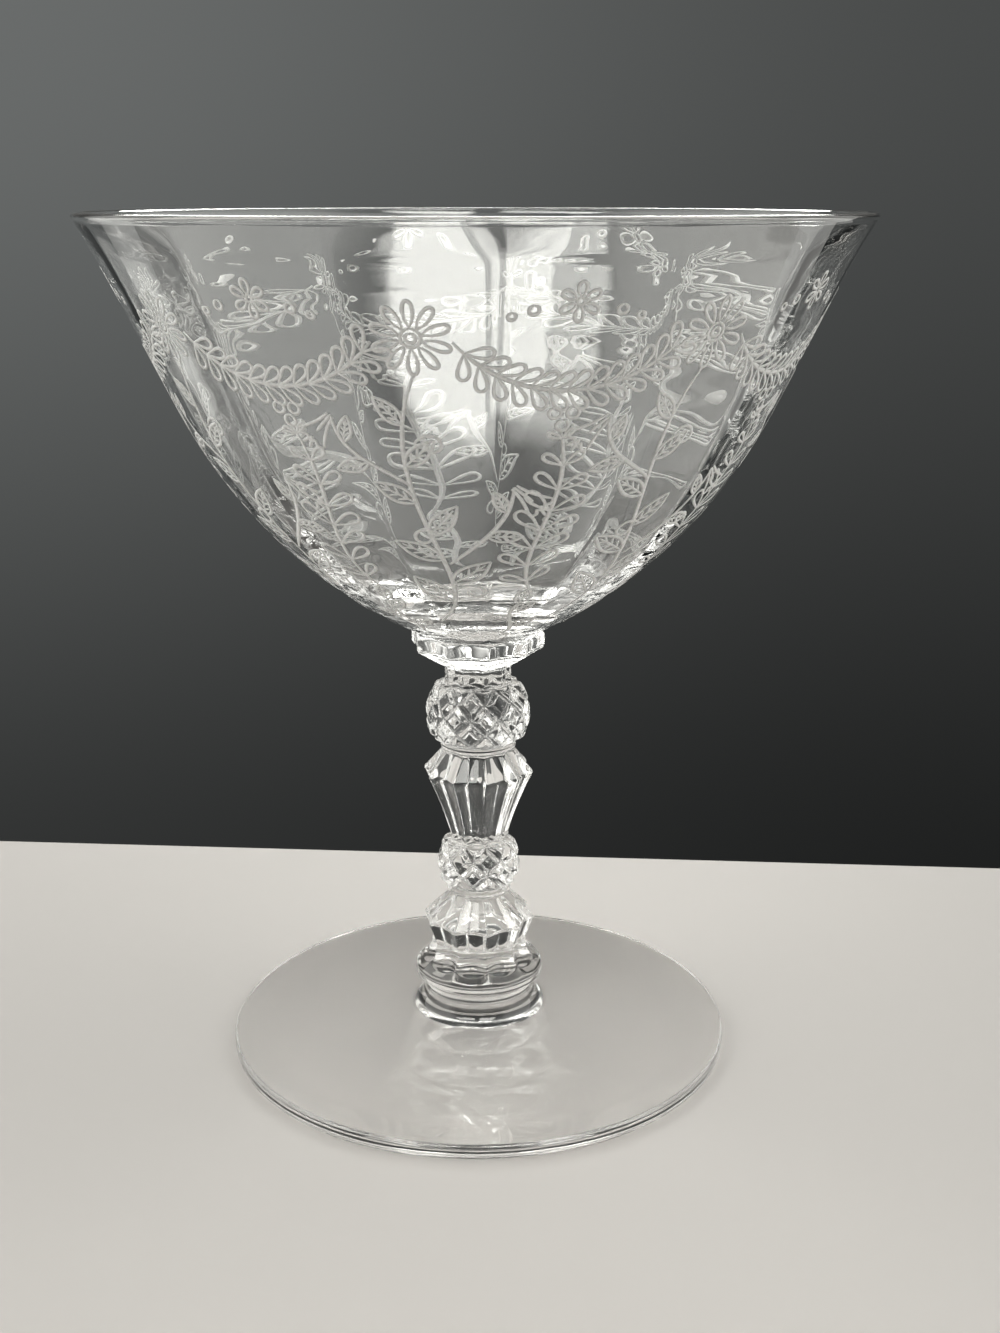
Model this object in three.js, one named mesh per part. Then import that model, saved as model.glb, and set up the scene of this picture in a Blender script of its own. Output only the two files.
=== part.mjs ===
// A stemmed sherbet glass: a blown bowl, a pressed stem and a spun foot, fused at two flat seats.
// Millimetres, +Z up, origin on the axis at the level the foot stands on, front of the glass at -Y.
import * as THREE from 'three';
import { mergeVertices } from 'three/addons/utils/BufferGeometryUtils.js';

// Foot
const FOOT_R = 38.0; // outer radius of the foot
const FOOT_EDGE = 2.2; // height of its edge
const FOOT_EDGE_ROUND = 0.7; // rounding of the edge, above and below
const FOOT_REST = 5.0; // width of the flat ring it stands on
const FOOT_HOLLOW = 0.6; // depth of the hollow underside at the axis
const HUB_TOP = 10.0; // height of the hub's seat
const HUB_FOOT_R = 10.0; // radius where the hub's sweep leaves the foot's upper face
const HUB_FOOT_TOP = 5.3; // height of the foot's upper face there

// Base ring and fluted cove at the bottom of the stem
const RING_R = 9.8; // radius of the round base ring
const RING_OVERHANG = 1.5; // how far the ring stands out over the hub
const RING_EDGE = 1.6; // height of its upright edge
const RING_SLOPE = 0.8; // height of the sloping face above the edge
const SCALLOP_R = 8.6; // radius where the flutes run out, at the middle of a flute
const SCALLOP_RISE = 0.6; // how much higher they run out at the ridges
const COVE = 3.7; // height of the cove above the sloping face
const COVE_PINCH_R = 7.3; // ridge radius that pulls the cove in to its waist
const FLUTE_SCOOP = 0.35; // how far each flute of the cove is scooped out
const FLUTE_FOOT = 0.3; // rise of a flute over its spoon-like lower end

// Base knop
const KNOP_BAND_R = 7.5; // ridge radius at the bottom of its band
const KNOP_BAND = 3.2; // height of the band
const KNOP_R = 8.75; // ridge radius at its widest
const KNOP_SHOULDER = 4.3; // height of the facets above the widest ring
const KNOP_TOP_R = 4.3; // ridge radius under the small ball

// Diamond-cut balls: outline, the round bead below the diamonds, and the rings on which the grooves cross.
// Leans are angles up the ball's arc from its widest point, in degrees.
const SMALL_BALL = { height: 9.1, radius: 6.3, endRadius: 4.7, bead: 1.0, beadRadius: 4.9 };
const SMALL_CUT = { diamonds: 8, turn: 14.5, rings: 4, firstLean: -24.4, leanStep: 19.3 };
const LARGE_BALL = { height: 10.8, radius: 7.85, endRadius: 5.5, bead: 1.0, beadRadius: 5.65 };
const LARGE_CUT = { diamonds: 10, turn: 9.5, rings: 5, firstLean: -35.3, leanStep: 20.0 };
const DIAMOND_DEPTH = 0.75; // depth of the V grooves between the diamonds
const DIAMOND_FLAT = 0.62; // share of a diamond's span that is left flat on top

// Baluster between the balls
const BALUSTER_FOOT_R = 4.5; // ridge radius on top of the small ball
const BALUSTER_TAPER = 10.3; // height of the long taper
const BALUSTER_SWELL_R = 6.0; // radius that bends the taper hollow, half way up
const BALUSTER_R = 8.5; // ridge radius at its widest
const BALUSTER_SHOULDER = 3.6; // height of the facets above the widest ring
const BALUSTER_TOP_R = 5.3; // ridge radius under the large ball

// Neck and collar under the bowl
const NECK_R = 5.05; // ridge radius of the neck
const NECK = 2.0; // height of the neck
const COLLAR_CONE = 3.0; // height of the facets that flare out to the collar
const COLLAR_R = 10.0; // ridge radius of the collar
const COLLAR_BAND = 2.4; // height of the collar's upright band

// Bowl
const BOWL_HEIGHT = 59.2; // from its seat to the top of the lip
const BOWL_R = 54.2; // outer radius at the rim
const SEAT_MARGIN = 0.2; // collar left showing round the bowl's seat, at the middle of a side
const WAIST_R = 41.8; // outer radius where the straight side turns into the belly
const WAIST_HEIGHT = 33.6; // height of that point above the seat
const SIDE_LEAN = 25.6; // lean of the straight side from upright, degrees
const RIM_LEAN = 31.0; // lean of the flared rim, degrees
const SEAT_LEAN = 60.0; // lean of the wall where it leaves the seat, degrees
const RIM_REACH = 8.0; // how far the flare carries down the side
const SIDE_REACH = 14.0; // how far the straight side carries up from the waist
const BELLY_REACH = 25.6; // how far the side carries down into the belly
const SEAT_REACH = 4.0; // how far the seat's lean carries up
const LIP_RISE = 0.6; // rounding of the lip above the rim's two edges
const RIM_WALL = 1.2; // wall across the rim
const SIDE_WALL = 1.5; // wall at the waist
const BASE_WALL = 2.9; // glass under the bowl's lowest point
const INNER_BELLY_REACH = 24.0; // as BELLY_REACH, on the inner face
const INNER_BASE_REACH = 12.0; // how far the inner face stays level round its lowest point
const OPTIC_RIB = 0.45; // height of the optic ribs on the inner face
const OPTIC_RIB_SPREAD = 2.6; // half width of a rib, degrees

// Counts and turns
const STEM_SIDES = 10;
const STEM_TURN = 9.5; // turn of the stem's ridges from the front, degrees
const FACET_HOLLOW = 0.08; // depth of each hollow facet up to the baluster, as a share of its ridge radius
const COLLAR_HOLLOW = 0.035; // the same on the neck and the collar
const FACET_STEPS = 4; // points across each facet
const COVE_STEPS = 3; // rings up the cove
const TAPER_STEPS = 4; // rings along the baluster's taper
const BEAD_POINTS = 40; // points round each ball's bead
const LIP_STEPS = 4; // steps over the rounding of the lip
const OPTIC_PANELS = 16;
const OPTIC_TURN = 3.75; // turn of the optic ribs from the front, degrees
const COLUMNS_PER_PANEL = 6; // columns of the bowl's wall in one optic panel
const SIDE_STEPS = 7; // steps along the straight side of the bowl
const BELLY_STEPS = 9; // steps along the belly
const FOOT_COLUMNS = 96;
const FOOT_CURVE_STEPS = 4; // steps along each curve of the foot's profile

const FULL_TURN = 2 * Math.PI;
const radians = THREE.MathUtils.degToRad;

// A point at an angle from the front (counter-clockwise from above), a radius and a height.
function polar(angle, radius, z) {
  return new THREE.Vector3(radius * Math.sin(angle), -radius * Math.cos(angle), z);
}

// A step of a given length in a profile, leaning outwards from upright by an angle in degrees.
function leaning(degrees, length) {
  const angle = radians(degrees);
  return new THREE.Vector2(length * Math.sin(angle), length * Math.cos(angle));
}

function glass(color) {
  const clear = { roughness: 0.05, metalness: 0, transparent: true, opacity: 0.4 };
  return new THREE.MeshStandardMaterial({ color, ...clear });
}

function named(name, geometry, color) {
  const mesh = new THREE.Mesh(geometry, glass(color));
  mesh.name = name;
  return mesh;
}

// Turns a profile of (radius, height) points, from the axis round to the axis, about +Z.
function turned(profile, columns) {
  const lathe = new THREE.LatheGeometry(profile, columns);
  lathe.rotateX(Math.PI / 2);
  return lathe;
}

// FOOT: a turned disc with a rounded edge, a gently domed upper face and a hub that sweeps up to its seat.
const hubR = RING_R - RING_OVERHANG;

function footProfile() {
  const restInner = FOOT_R - FOOT_EDGE_ROUND - FOOT_REST;
  const rest = new THREE.Vector2(FOOT_R - FOOT_EDGE_ROUND, 0);
  const outline = new THREE.Path();
  outline.moveTo(0, FOOT_HOLLOW);
  outline.quadraticCurveTo(restInner / 2, FOOT_HOLLOW, restInner, 0);
  outline.lineTo(rest.x, rest.y);
  outline.quadraticCurveTo(FOOT_R, 0, FOOT_R, FOOT_EDGE_ROUND);
  outline.lineTo(FOOT_R, FOOT_EDGE - FOOT_EDGE_ROUND);
  outline.quadraticCurveTo(FOOT_R, FOOT_EDGE, FOOT_R - FOOT_EDGE_ROUND, FOOT_EDGE);
  outline.lineTo(HUB_FOOT_R, HUB_FOOT_TOP);
  const slope = (HUB_FOOT_TOP - FOOT_EDGE) / (FOOT_R - FOOT_EDGE_ROUND - HUB_FOOT_R);
  outline.quadraticCurveTo(hubR, HUB_FOOT_TOP + slope * (HUB_FOOT_R - hubR), hubR, HUB_TOP);
  outline.lineTo(0, HUB_TOP);
  return outline.getPoints(FOOT_CURVE_STEPS);
}

const foot = named('foot', turned(footProfile(), FOOT_COLUMNS), 0xdfe6e4);

// STEM: rings of ten hollow sides joined into facets, from the base ring up to the collar.
const stemFacets = [];
const sidePitch = FULL_TURN / STEM_SIDES;

function facet(...corners) {
  for (let n = 2; n < corners.length; n += 1) {
    stemFacets.push(corners[0], corners[n - 1], corners[n]);
  }
}

// A level ring of evenly spaced points, the first at an angle in degrees from the front.
function evenRing(count, turn, radius, z) {
  const points = [];
  for (let n = 0; n < count; n += 1) {
    points.push(polar(radians(turn) + (n / count) * FULL_TURN, radius, z));
  }
  return points;
}

// Joins a ring to one with as many points above it.
function band(lower, upper) {
  for (let n = 0; n < lower.length; n += 1) {
    const next = (n + 1) % lower.length;
    facet(lower[n], lower[next], upper[n]);
    facet(lower[next], upper[next], upper[n]);
  }
}

// Joins two rings of any counts: at each step the ring whose next point comes first goes on by one.
function laced(lower, upper) {
  const turnOf = (ring, n) => Math.atan2(ring[0].x, -ring[0].y) + (n / ring.length) * FULL_TURN;
  let low = 0;
  let high = 0;
  while (low < lower.length || high < upper.length) {
    const from = lower[low % lower.length];
    const to = upper[high % upper.length];
    const lowerFirst = turnOf(lower, low + 1) <= turnOf(upper, high + 1);
    if (high === upper.length || (low < lower.length && lowerFirst)) {
      low += 1;
      facet(from, lower[low % lower.length], to);
    } else {
      high += 1;
      facet(from, upper[high % upper.length], to);
    }
  }
}

// Closes a ring with a flat face; up is false for a face that looks down.
function disc(points, up) {
  const centre = new THREE.Vector3(0, 0, points[0].z);
  points.forEach((point, n) => {
    const next = points[(n + 1) % points.length];
    facet(centre, up ? point : next, up ? next : point);
  });
}

// A ring with several points on each side. Radius and height follow the place along the side, from ridge to
// ridge, and its bow, which is 0 at the ridges and 1 half way between them.
function sidedRing(radiusAt, zAt) {
  const points = [];
  for (let n = 0; n < STEM_SIDES * FACET_STEPS; n += 1) {
    const along = (n % FACET_STEPS) / FACET_STEPS;
    const bow = 4 * along * (1 - along);
    points.push(polar(radians(STEM_TURN) + (n / FACET_STEPS) * sidePitch, radiusAt(bow, along), zAt(bow)));
  }
  return points;
}

// Radius of a hollow side: the polygon's flat side, less a shallow scoop.
function hollowSide(ridgeR, bow, along, hollow = FACET_HOLLOW) {
  const flat = (ridgeR * Math.cos(sidePitch / 2)) / Math.cos((along - 0.5) * sidePitch);
  return flat - hollow * ridgeR * bow;
}

// A level ring of hollow sides.
function facetRing(ridgeR, z, hollow = FACET_HOLLOW) {
  return sidedRing((bow, along) => hollowSide(ridgeR, bow, along, hollow), () => z);
}

// A flat-topped boss over a patch of grooves: the corners drawn in to the middle and raised from the ball's
// centre.
function boss(ballCentre, corners) {
  const middle = new THREE.Vector3();
  corners.forEach((corner) => middle.addScaledVector(corner, 1 / corners.length));
  const top = corners.map((corner) => {
    const out = middle.clone().lerp(corner, DIAMOND_FLAT).sub(ballCentre);
    const reach = corner.distanceTo(ballCentre) + DIAMOND_DEPTH;
    return out.setLength(reach).add(ballCentre);
  });
  facet(...top);
  corners.forEach((corner, n) => {
    const next = (n + 1) % corners.length;
    facet(corner, corners[next], top[next], top[n]);
  });
}

// A diamond-cut ball standing on z, whose outline is an arc through its two ends and its widest point.
// Its grooves cross on level rings, each half a diamond ahead of or behind the one below, and a bead runs
// round under the lowest ring. Half diamonds fill the lowest and the highest row.
function diamondBall({ height, radius, endRadius, bead, beadRadius }, cut, z) {
  const half = height / 2;
  const rise = radius - endRadius;
  const arc = (half * half + rise * rise) / (2 * rise);
  const centre = new THREE.Vector3(0, 0, z + half);
  const rings = [];
  for (let row = 0; row < cut.rings; row += 1) {
    const lean = radians(cut.firstLean + row * cut.leanStep);
    const grooveR = radius - DIAMOND_DEPTH - arc + arc * Math.cos(lean);
    const turn = cut.turn + (row % 2 === 0 ? 180 / cut.diamonds : 0);
    rings.push(evenRing(cut.diamonds, turn, grooveR, centre.z + arc * Math.sin(lean)));
  }
  const top = rings[cut.rings - 1];
  for (let row = 0; row < cut.rings; row += 1) {
    for (let n = 0; n < cut.diamonds; n += 1) {
      const left = row % 2 === 0 ? (n + cut.diamonds - 1) % cut.diamonds : n;
      const right = (left + 1) % cut.diamonds;
      const corners = [rings[row][left], rings[row][right]];
      const below = row > 0 ? [rings[row - 1][n]] : [];
      const above = row < cut.rings - 1 ? [rings[row + 1][n]] : [];
      boss(centre, [...below, corners[1], ...above, corners[0]]);
    }
  }
  const beadRing = evenRing(BEAD_POINTS, cut.turn, beadRadius, z + bead / 2);
  laced(beadRing, rings[0]);
  return { bottom: beadRing, top };
}

const ringEdgeTop = HUB_TOP + RING_EDGE;
const coveFoot = ringEdgeTop + RING_SLOPE;
const coveTop = coveFoot + COVE;
const knopWidest = coveTop + KNOP_BAND;
const knopTop = knopWidest + KNOP_SHOULDER;
const balusterFoot = knopTop + SMALL_BALL.height;
const balusterWidest = balusterFoot + BALUSTER_TAPER;
const balusterTop = balusterWidest + BALUSTER_SHOULDER;
const neckFoot = balusterTop + LARGE_BALL.height;
const neckTop = neckFoot + NECK;
const collarFoot = neckTop + COLLAR_CONE;
const collarTop = collarFoot + COLLAR_BAND;

// The flutes of the cove run out on the base ring in scallops, lowest at the middle of each side, and curve up
// from there like the bowl of a spoon to the knop's band.
const scallopRidgeR = SCALLOP_R - (SCALLOP_R - COVE_PINCH_R) * (SCALLOP_RISE / COVE);
const scallopZ = (bow) => coveFoot + SCALLOP_RISE * (1 - bow);
const ringBottom = sidedRing(() => RING_R, () => HUB_TOP);
const ringTop = sidedRing(() => RING_R, () => ringEdgeTop);
const scallops = sidedRing((bow) => scallopRidgeR + (SCALLOP_R - scallopRidgeR) * bow, scallopZ);
const covePinch = sidedRing(
  (bow, along) => hollowSide(COVE_PINCH_R, bow, along) - 2 * FLUTE_SCOOP * bow,
  (bow) => scallopZ(bow) + FLUTE_FOOT,
);
const knopBand = facetRing(KNOP_BAND_R, coveTop);
const coveCurves = scallops.map(
  (foot, n) => new THREE.QuadraticBezierCurve3(foot, covePinch[n], knopBand[n]),
);
disc(ringBottom, false);
band(ringBottom, ringTop);
band(ringTop, scallops);
for (let step = 0; step < COVE_STEPS; step += 1) {
  const lower = coveCurves.map((curve) => curve.getPoint(step / COVE_STEPS));
  const upper = coveCurves.map((curve) => curve.getPoint((step + 1) / COVE_STEPS));
  band(lower, upper);
}

const knopRidge = facetRing(KNOP_R, knopWidest);
const knopNeck = facetRing(KNOP_TOP_R, knopTop);
const smallBall = diamondBall(SMALL_BALL, SMALL_CUT, knopTop);
band(knopBand, knopRidge);
band(knopRidge, knopNeck);
laced(knopNeck, smallBall.bottom);

// The baluster's long taper follows a hollow curve up to its widest ring.
const taper = new THREE.QuadraticBezierCurve(
  new THREE.Vector2(BALUSTER_FOOT_R, balusterFoot),
  new THREE.Vector2(BALUSTER_SWELL_R, balusterFoot + BALUSTER_TAPER / 2),
  new THREE.Vector2(BALUSTER_R, balusterWidest),
);
const taperRings = taper.getPoints(TAPER_STEPS).map((point) => facetRing(point.x, point.y));
const largeBall = diamondBall(LARGE_BALL, LARGE_CUT, balusterTop);
const balusterNeck = facetRing(BALUSTER_TOP_R, balusterTop);
laced(smallBall.top, taperRings[0]);
taperRings.slice(1).forEach((upper, n) => band(taperRings[n], upper));
band(taperRings[TAPER_STEPS], balusterNeck);
laced(balusterNeck, largeBall.bottom);

const collarRings = [
  facetRing(NECK_R, neckFoot, COLLAR_HOLLOW),
  facetRing(NECK_R, neckTop, COLLAR_HOLLOW),
  facetRing(COLLAR_R, collarFoot, COLLAR_HOLLOW),
  facetRing(COLLAR_R, collarTop, COLLAR_HOLLOW),
];
laced(largeBall.top, collarRings[0]);
collarRings.slice(1).forEach((upper, n) => band(collarRings[n], upper));
disc(collarRings[3], true);

const stem = named('stem', mergeVertices(new THREE.BufferGeometry().setFromPoints(stemFacets)), 0xe4eae8);

// BOWL: a turned wall on the collar, with the optic ribs pressed into its inner face.
const seat = new THREE.Vector2(COLLAR_R * (Math.cos(sidePitch / 2) - COLLAR_HOLLOW) - SEAT_MARGIN, collarTop);
const rim = new THREE.Vector2(BOWL_R, collarTop + BOWL_HEIGHT - LIP_RISE);
const waist = new THREE.Vector2(WAIST_R, collarTop + WAIST_HEIGHT);

// The flared side from a rim point down to a waist point.
function sideCurve(top, foot) {
  return new THREE.CubicBezierCurve(
    top,
    top.clone().sub(leaning(RIM_LEAN, RIM_REACH)),
    foot.clone().add(leaning(SIDE_LEAN, SIDE_REACH)),
    foot,
  );
}

// The wall's profile, from the seat's centre up the outer face, over the rim and down the inner face.
function bowlProfile() {
  const sideIn = leaning(SIDE_LEAN + 90, -SIDE_WALL);
  const innerRim = rim.clone().sub(new THREE.Vector2(RIM_WALL, 0));
  const innerWaist = waist.clone().add(sideIn);
  const innerBase = new THREE.Vector2(0, collarTop + BASE_WALL);
  const outerBelly = new THREE.CubicBezierCurve(
    waist,
    waist.clone().sub(leaning(SIDE_LEAN, BELLY_REACH)),
    seat.clone().add(leaning(SEAT_LEAN, SEAT_REACH)),
    seat,
  );
  const innerBelly = new THREE.CubicBezierCurve(
    innerWaist,
    innerWaist.clone().sub(leaning(SIDE_LEAN, INNER_BELLY_REACH)),
    new THREE.Vector2(INNER_BASE_REACH, innerBase.y),
    innerBase,
  );
  const outerSide = sideCurve(rim, waist).getPoints(SIDE_STEPS);
  const outer = [...outerSide, ...outerBelly.getPoints(BELLY_STEPS).slice(1)];
  const inner = [...sideCurve(innerRim, innerWaist).getPoints(SIDE_STEPS)];
  inner.push(...innerBelly.getPoints(BELLY_STEPS).slice(1));
  const lip = new THREE.EllipseCurve((rim.x + innerRim.x) / 2, rim.y, RIM_WALL / 2, LIP_RISE, 0, Math.PI);
  const lipPoints = lip.getPoints(LIP_STEPS).slice(1, -1);
  const profile = [new THREE.Vector2(0, seat.y), ...outer.reverse(), ...lipPoints, ...inner];
  return { profile, firstInner: profile.length - inner.length };
}

// The ribs stand inwards where the optic panels meet, and die out at the rim and at the bottom.
function pressOptic(geometry, rows, firstInner) {
  const position = geometry.getAttribute('position');
  const point = new THREE.Vector3();
  const pitch = FULL_TURN / OPTIC_PANELS;
  for (let n = 0; n < position.count; n += 1) {
    const row = n % rows;
    if (row >= firstInner) {
      point.fromBufferAttribute(position, n);
      const along = (row - firstInner) / (rows - 1 - firstInner);
      const column = Math.floor(n / rows) % (OPTIC_PANELS * COLUMNS_PER_PANEL);
      const place = (column / COLUMNS_PER_PANEL) % 1;
      const offset = Math.min(place, 1 - place) * pitch;
      const crest = Math.exp(-((offset / radians(OPTIC_RIB_SPREAD)) ** 2));
      const rib = OPTIC_RIB * crest * Math.sin(Math.PI * along);
      const radius = Math.hypot(point.x, point.y);
      const inwards = radius > 0 ? 1 - rib / radius : 1;
      position.setXY(n, point.x * inwards, point.y * inwards);
    }
  }
  geometry.rotateZ(radians(OPTIC_TURN));
  return geometry;
}

const { profile, firstInner } = bowlProfile();
const bowlWall = pressOptic(turned(profile, OPTIC_PANELS * COLUMNS_PER_PANEL), profile.length, firstInner);
const bowl = named('bowl', bowlWall, 0xe2e8e6);

const sherbetGlass = new THREE.Group();
sherbetGlass.name = 'sherbet_glass';
sherbetGlass.add(bowl, stem, foot);

export default sherbetGlass;
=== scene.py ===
"""A stemmed sherbet glass: an optic bowl with etched sprays, a pressed diamond-cut stem and a spun foot."""

import math
from types import SimpleNamespace

import bpy
import numpy as np
from bpy.props import FloatProperty, FloatVectorProperty, IntProperty, PointerProperty
from mathutils import Euler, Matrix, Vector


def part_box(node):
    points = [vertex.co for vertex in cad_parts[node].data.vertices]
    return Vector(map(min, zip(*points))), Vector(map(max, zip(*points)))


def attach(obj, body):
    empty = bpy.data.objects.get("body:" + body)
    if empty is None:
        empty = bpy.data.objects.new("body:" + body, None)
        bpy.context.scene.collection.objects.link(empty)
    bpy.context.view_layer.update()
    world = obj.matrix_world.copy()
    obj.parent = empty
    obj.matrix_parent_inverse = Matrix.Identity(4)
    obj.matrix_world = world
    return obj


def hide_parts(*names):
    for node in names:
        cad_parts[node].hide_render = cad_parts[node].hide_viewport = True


bl_info = {
    "name": "Sherbet glass",
    "version": (1, 0, 0),
    "blender": (4, 5, 0),
    "location": "3D View > Sidebar > Sherbet glass",
    "description": "Builds a sherbet glass with an optic bowl, a diamond-cut stem and a spun foot",
    "category": "Add Mesh",
}

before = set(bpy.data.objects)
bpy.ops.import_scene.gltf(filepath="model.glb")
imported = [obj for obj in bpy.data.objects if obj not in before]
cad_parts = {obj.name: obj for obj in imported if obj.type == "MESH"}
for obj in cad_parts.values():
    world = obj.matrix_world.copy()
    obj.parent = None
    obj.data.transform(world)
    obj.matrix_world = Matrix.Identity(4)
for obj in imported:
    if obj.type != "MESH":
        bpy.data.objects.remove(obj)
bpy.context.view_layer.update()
FOOT_LOW, FOOT_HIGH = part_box("foot")
STEM_LOW, STEM_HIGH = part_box("stem")
BOWL_LOW, BOWL_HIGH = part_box("bowl")

MM = 0.001
FULL_TURN = 2 * math.pi
BODY = "root"


def size(label, millimetres, words):
    """A length property, written in millimetres and kept in metres."""
    return FloatProperty(name=label, description=words, default=millimetres * MM, min=0.0,
                         unit="LENGTH", precision=5)


def frame_size(label, metres, words):
    """A length property whose default is read from the frame."""
    return FloatProperty(name=label, description=words, default=metres, min=0.0, unit="LENGTH", precision=5)


def turn(label, degrees, words):
    """An angle property, written in degrees."""
    return FloatProperty(name=label, description=words, default=math.radians(degrees), unit="ROTATION")


def share(label, value, words):
    """A plain number from 0 to 1."""
    return FloatProperty(name=label, description=words, default=value, min=0.0, max=1.0, subtype="FACTOR")


def number(label, value, words):
    """A plain number with no upper limit."""
    return FloatProperty(name=label, description=words, default=value, min=0.0)


def how_many(label, value, least, words):
    """A whole number of like things."""
    return IntProperty(name=label, description=words, default=value, min=least)


def colour(label, value, words):
    """A colour property."""
    return FloatVectorProperty(name=label, description=words, default=value, size=3, min=0.0, max=1.0,
                               subtype="COLOR")


class BowlSettings(bpy.types.PropertyGroup):
    """Sizes of the blown bowl."""

    rim_radius: frame_size("Rim radius", BOWL_HIGH.x, "Outer radius at the rim")
    lip_top: frame_size("Lip top", BOWL_HIGH.z, "Height of the top of the lip")
    seat_height: frame_size("Seat height", BOWL_LOW.z, "Height of the seat on the collar")
    seat_radius: size("Seat radius", 8.96, "Radius of the seat on the collar")
    waist_radius: size("Waist radius", 41.8, "Outer radius where the straight side turns into the belly")
    waist_rise: size("Waist rise", 33.6, "Height of the waist above the seat")
    side_lean: turn("Side lean", 25.6, "Lean of the straight side from upright")
    rim_lean: turn("Rim lean", 31.0, "Lean of the flared rim from upright")
    seat_lean: turn("Seat lean", 60.0, "Lean of the wall where it leaves the seat")
    rim_reach: size("Rim reach", 8.0, "How far the flare carries down the side")
    side_reach: size("Side reach", 14.0, "How far the straight side carries up from the waist")
    belly_reach: size("Belly reach", 25.6, "How far the side carries down into the belly")
    seat_reach: size("Seat reach", 4.0, "How far the seat's lean carries up")
    rim_wall: size("Rim wall", 1.2, "Wall across the rim")
    lip_rise: size("Lip rise", 0.6, "Rounding of the lip above the rim's edges")
    side_wall: size("Side wall", 1.5, "Wall at the waist")
    base_wall: size("Base wall", 2.9, "Glass under the lowest point inside")
    inner_belly_reach: size("Inner belly reach", 24.0, "Belly reach of the inner face")
    inner_base_reach: size("Inner base reach", 12.0, "How far the inner face stays level at its lowest point")
    panels: how_many("Optic panels", 16, 3, "Number of optic panels")
    optic_turn: turn("Optic turn", 3.75, "Turn of the optic ribs from the front")
    panel_flat: share("Panel flat", 0.7, "How far an optic panel is drawn from round to flat")
    panel_corner: size("Panel corner", 1.0, "Half width of the rounded line where two panels meet")
    panel_thin: size("Panel thin", 0.25, "How much thinner the wall is where two panels meet")
    ripple: size("Ripple", 0.012, "Depth of the faint blowing rings on the inner face")


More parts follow.
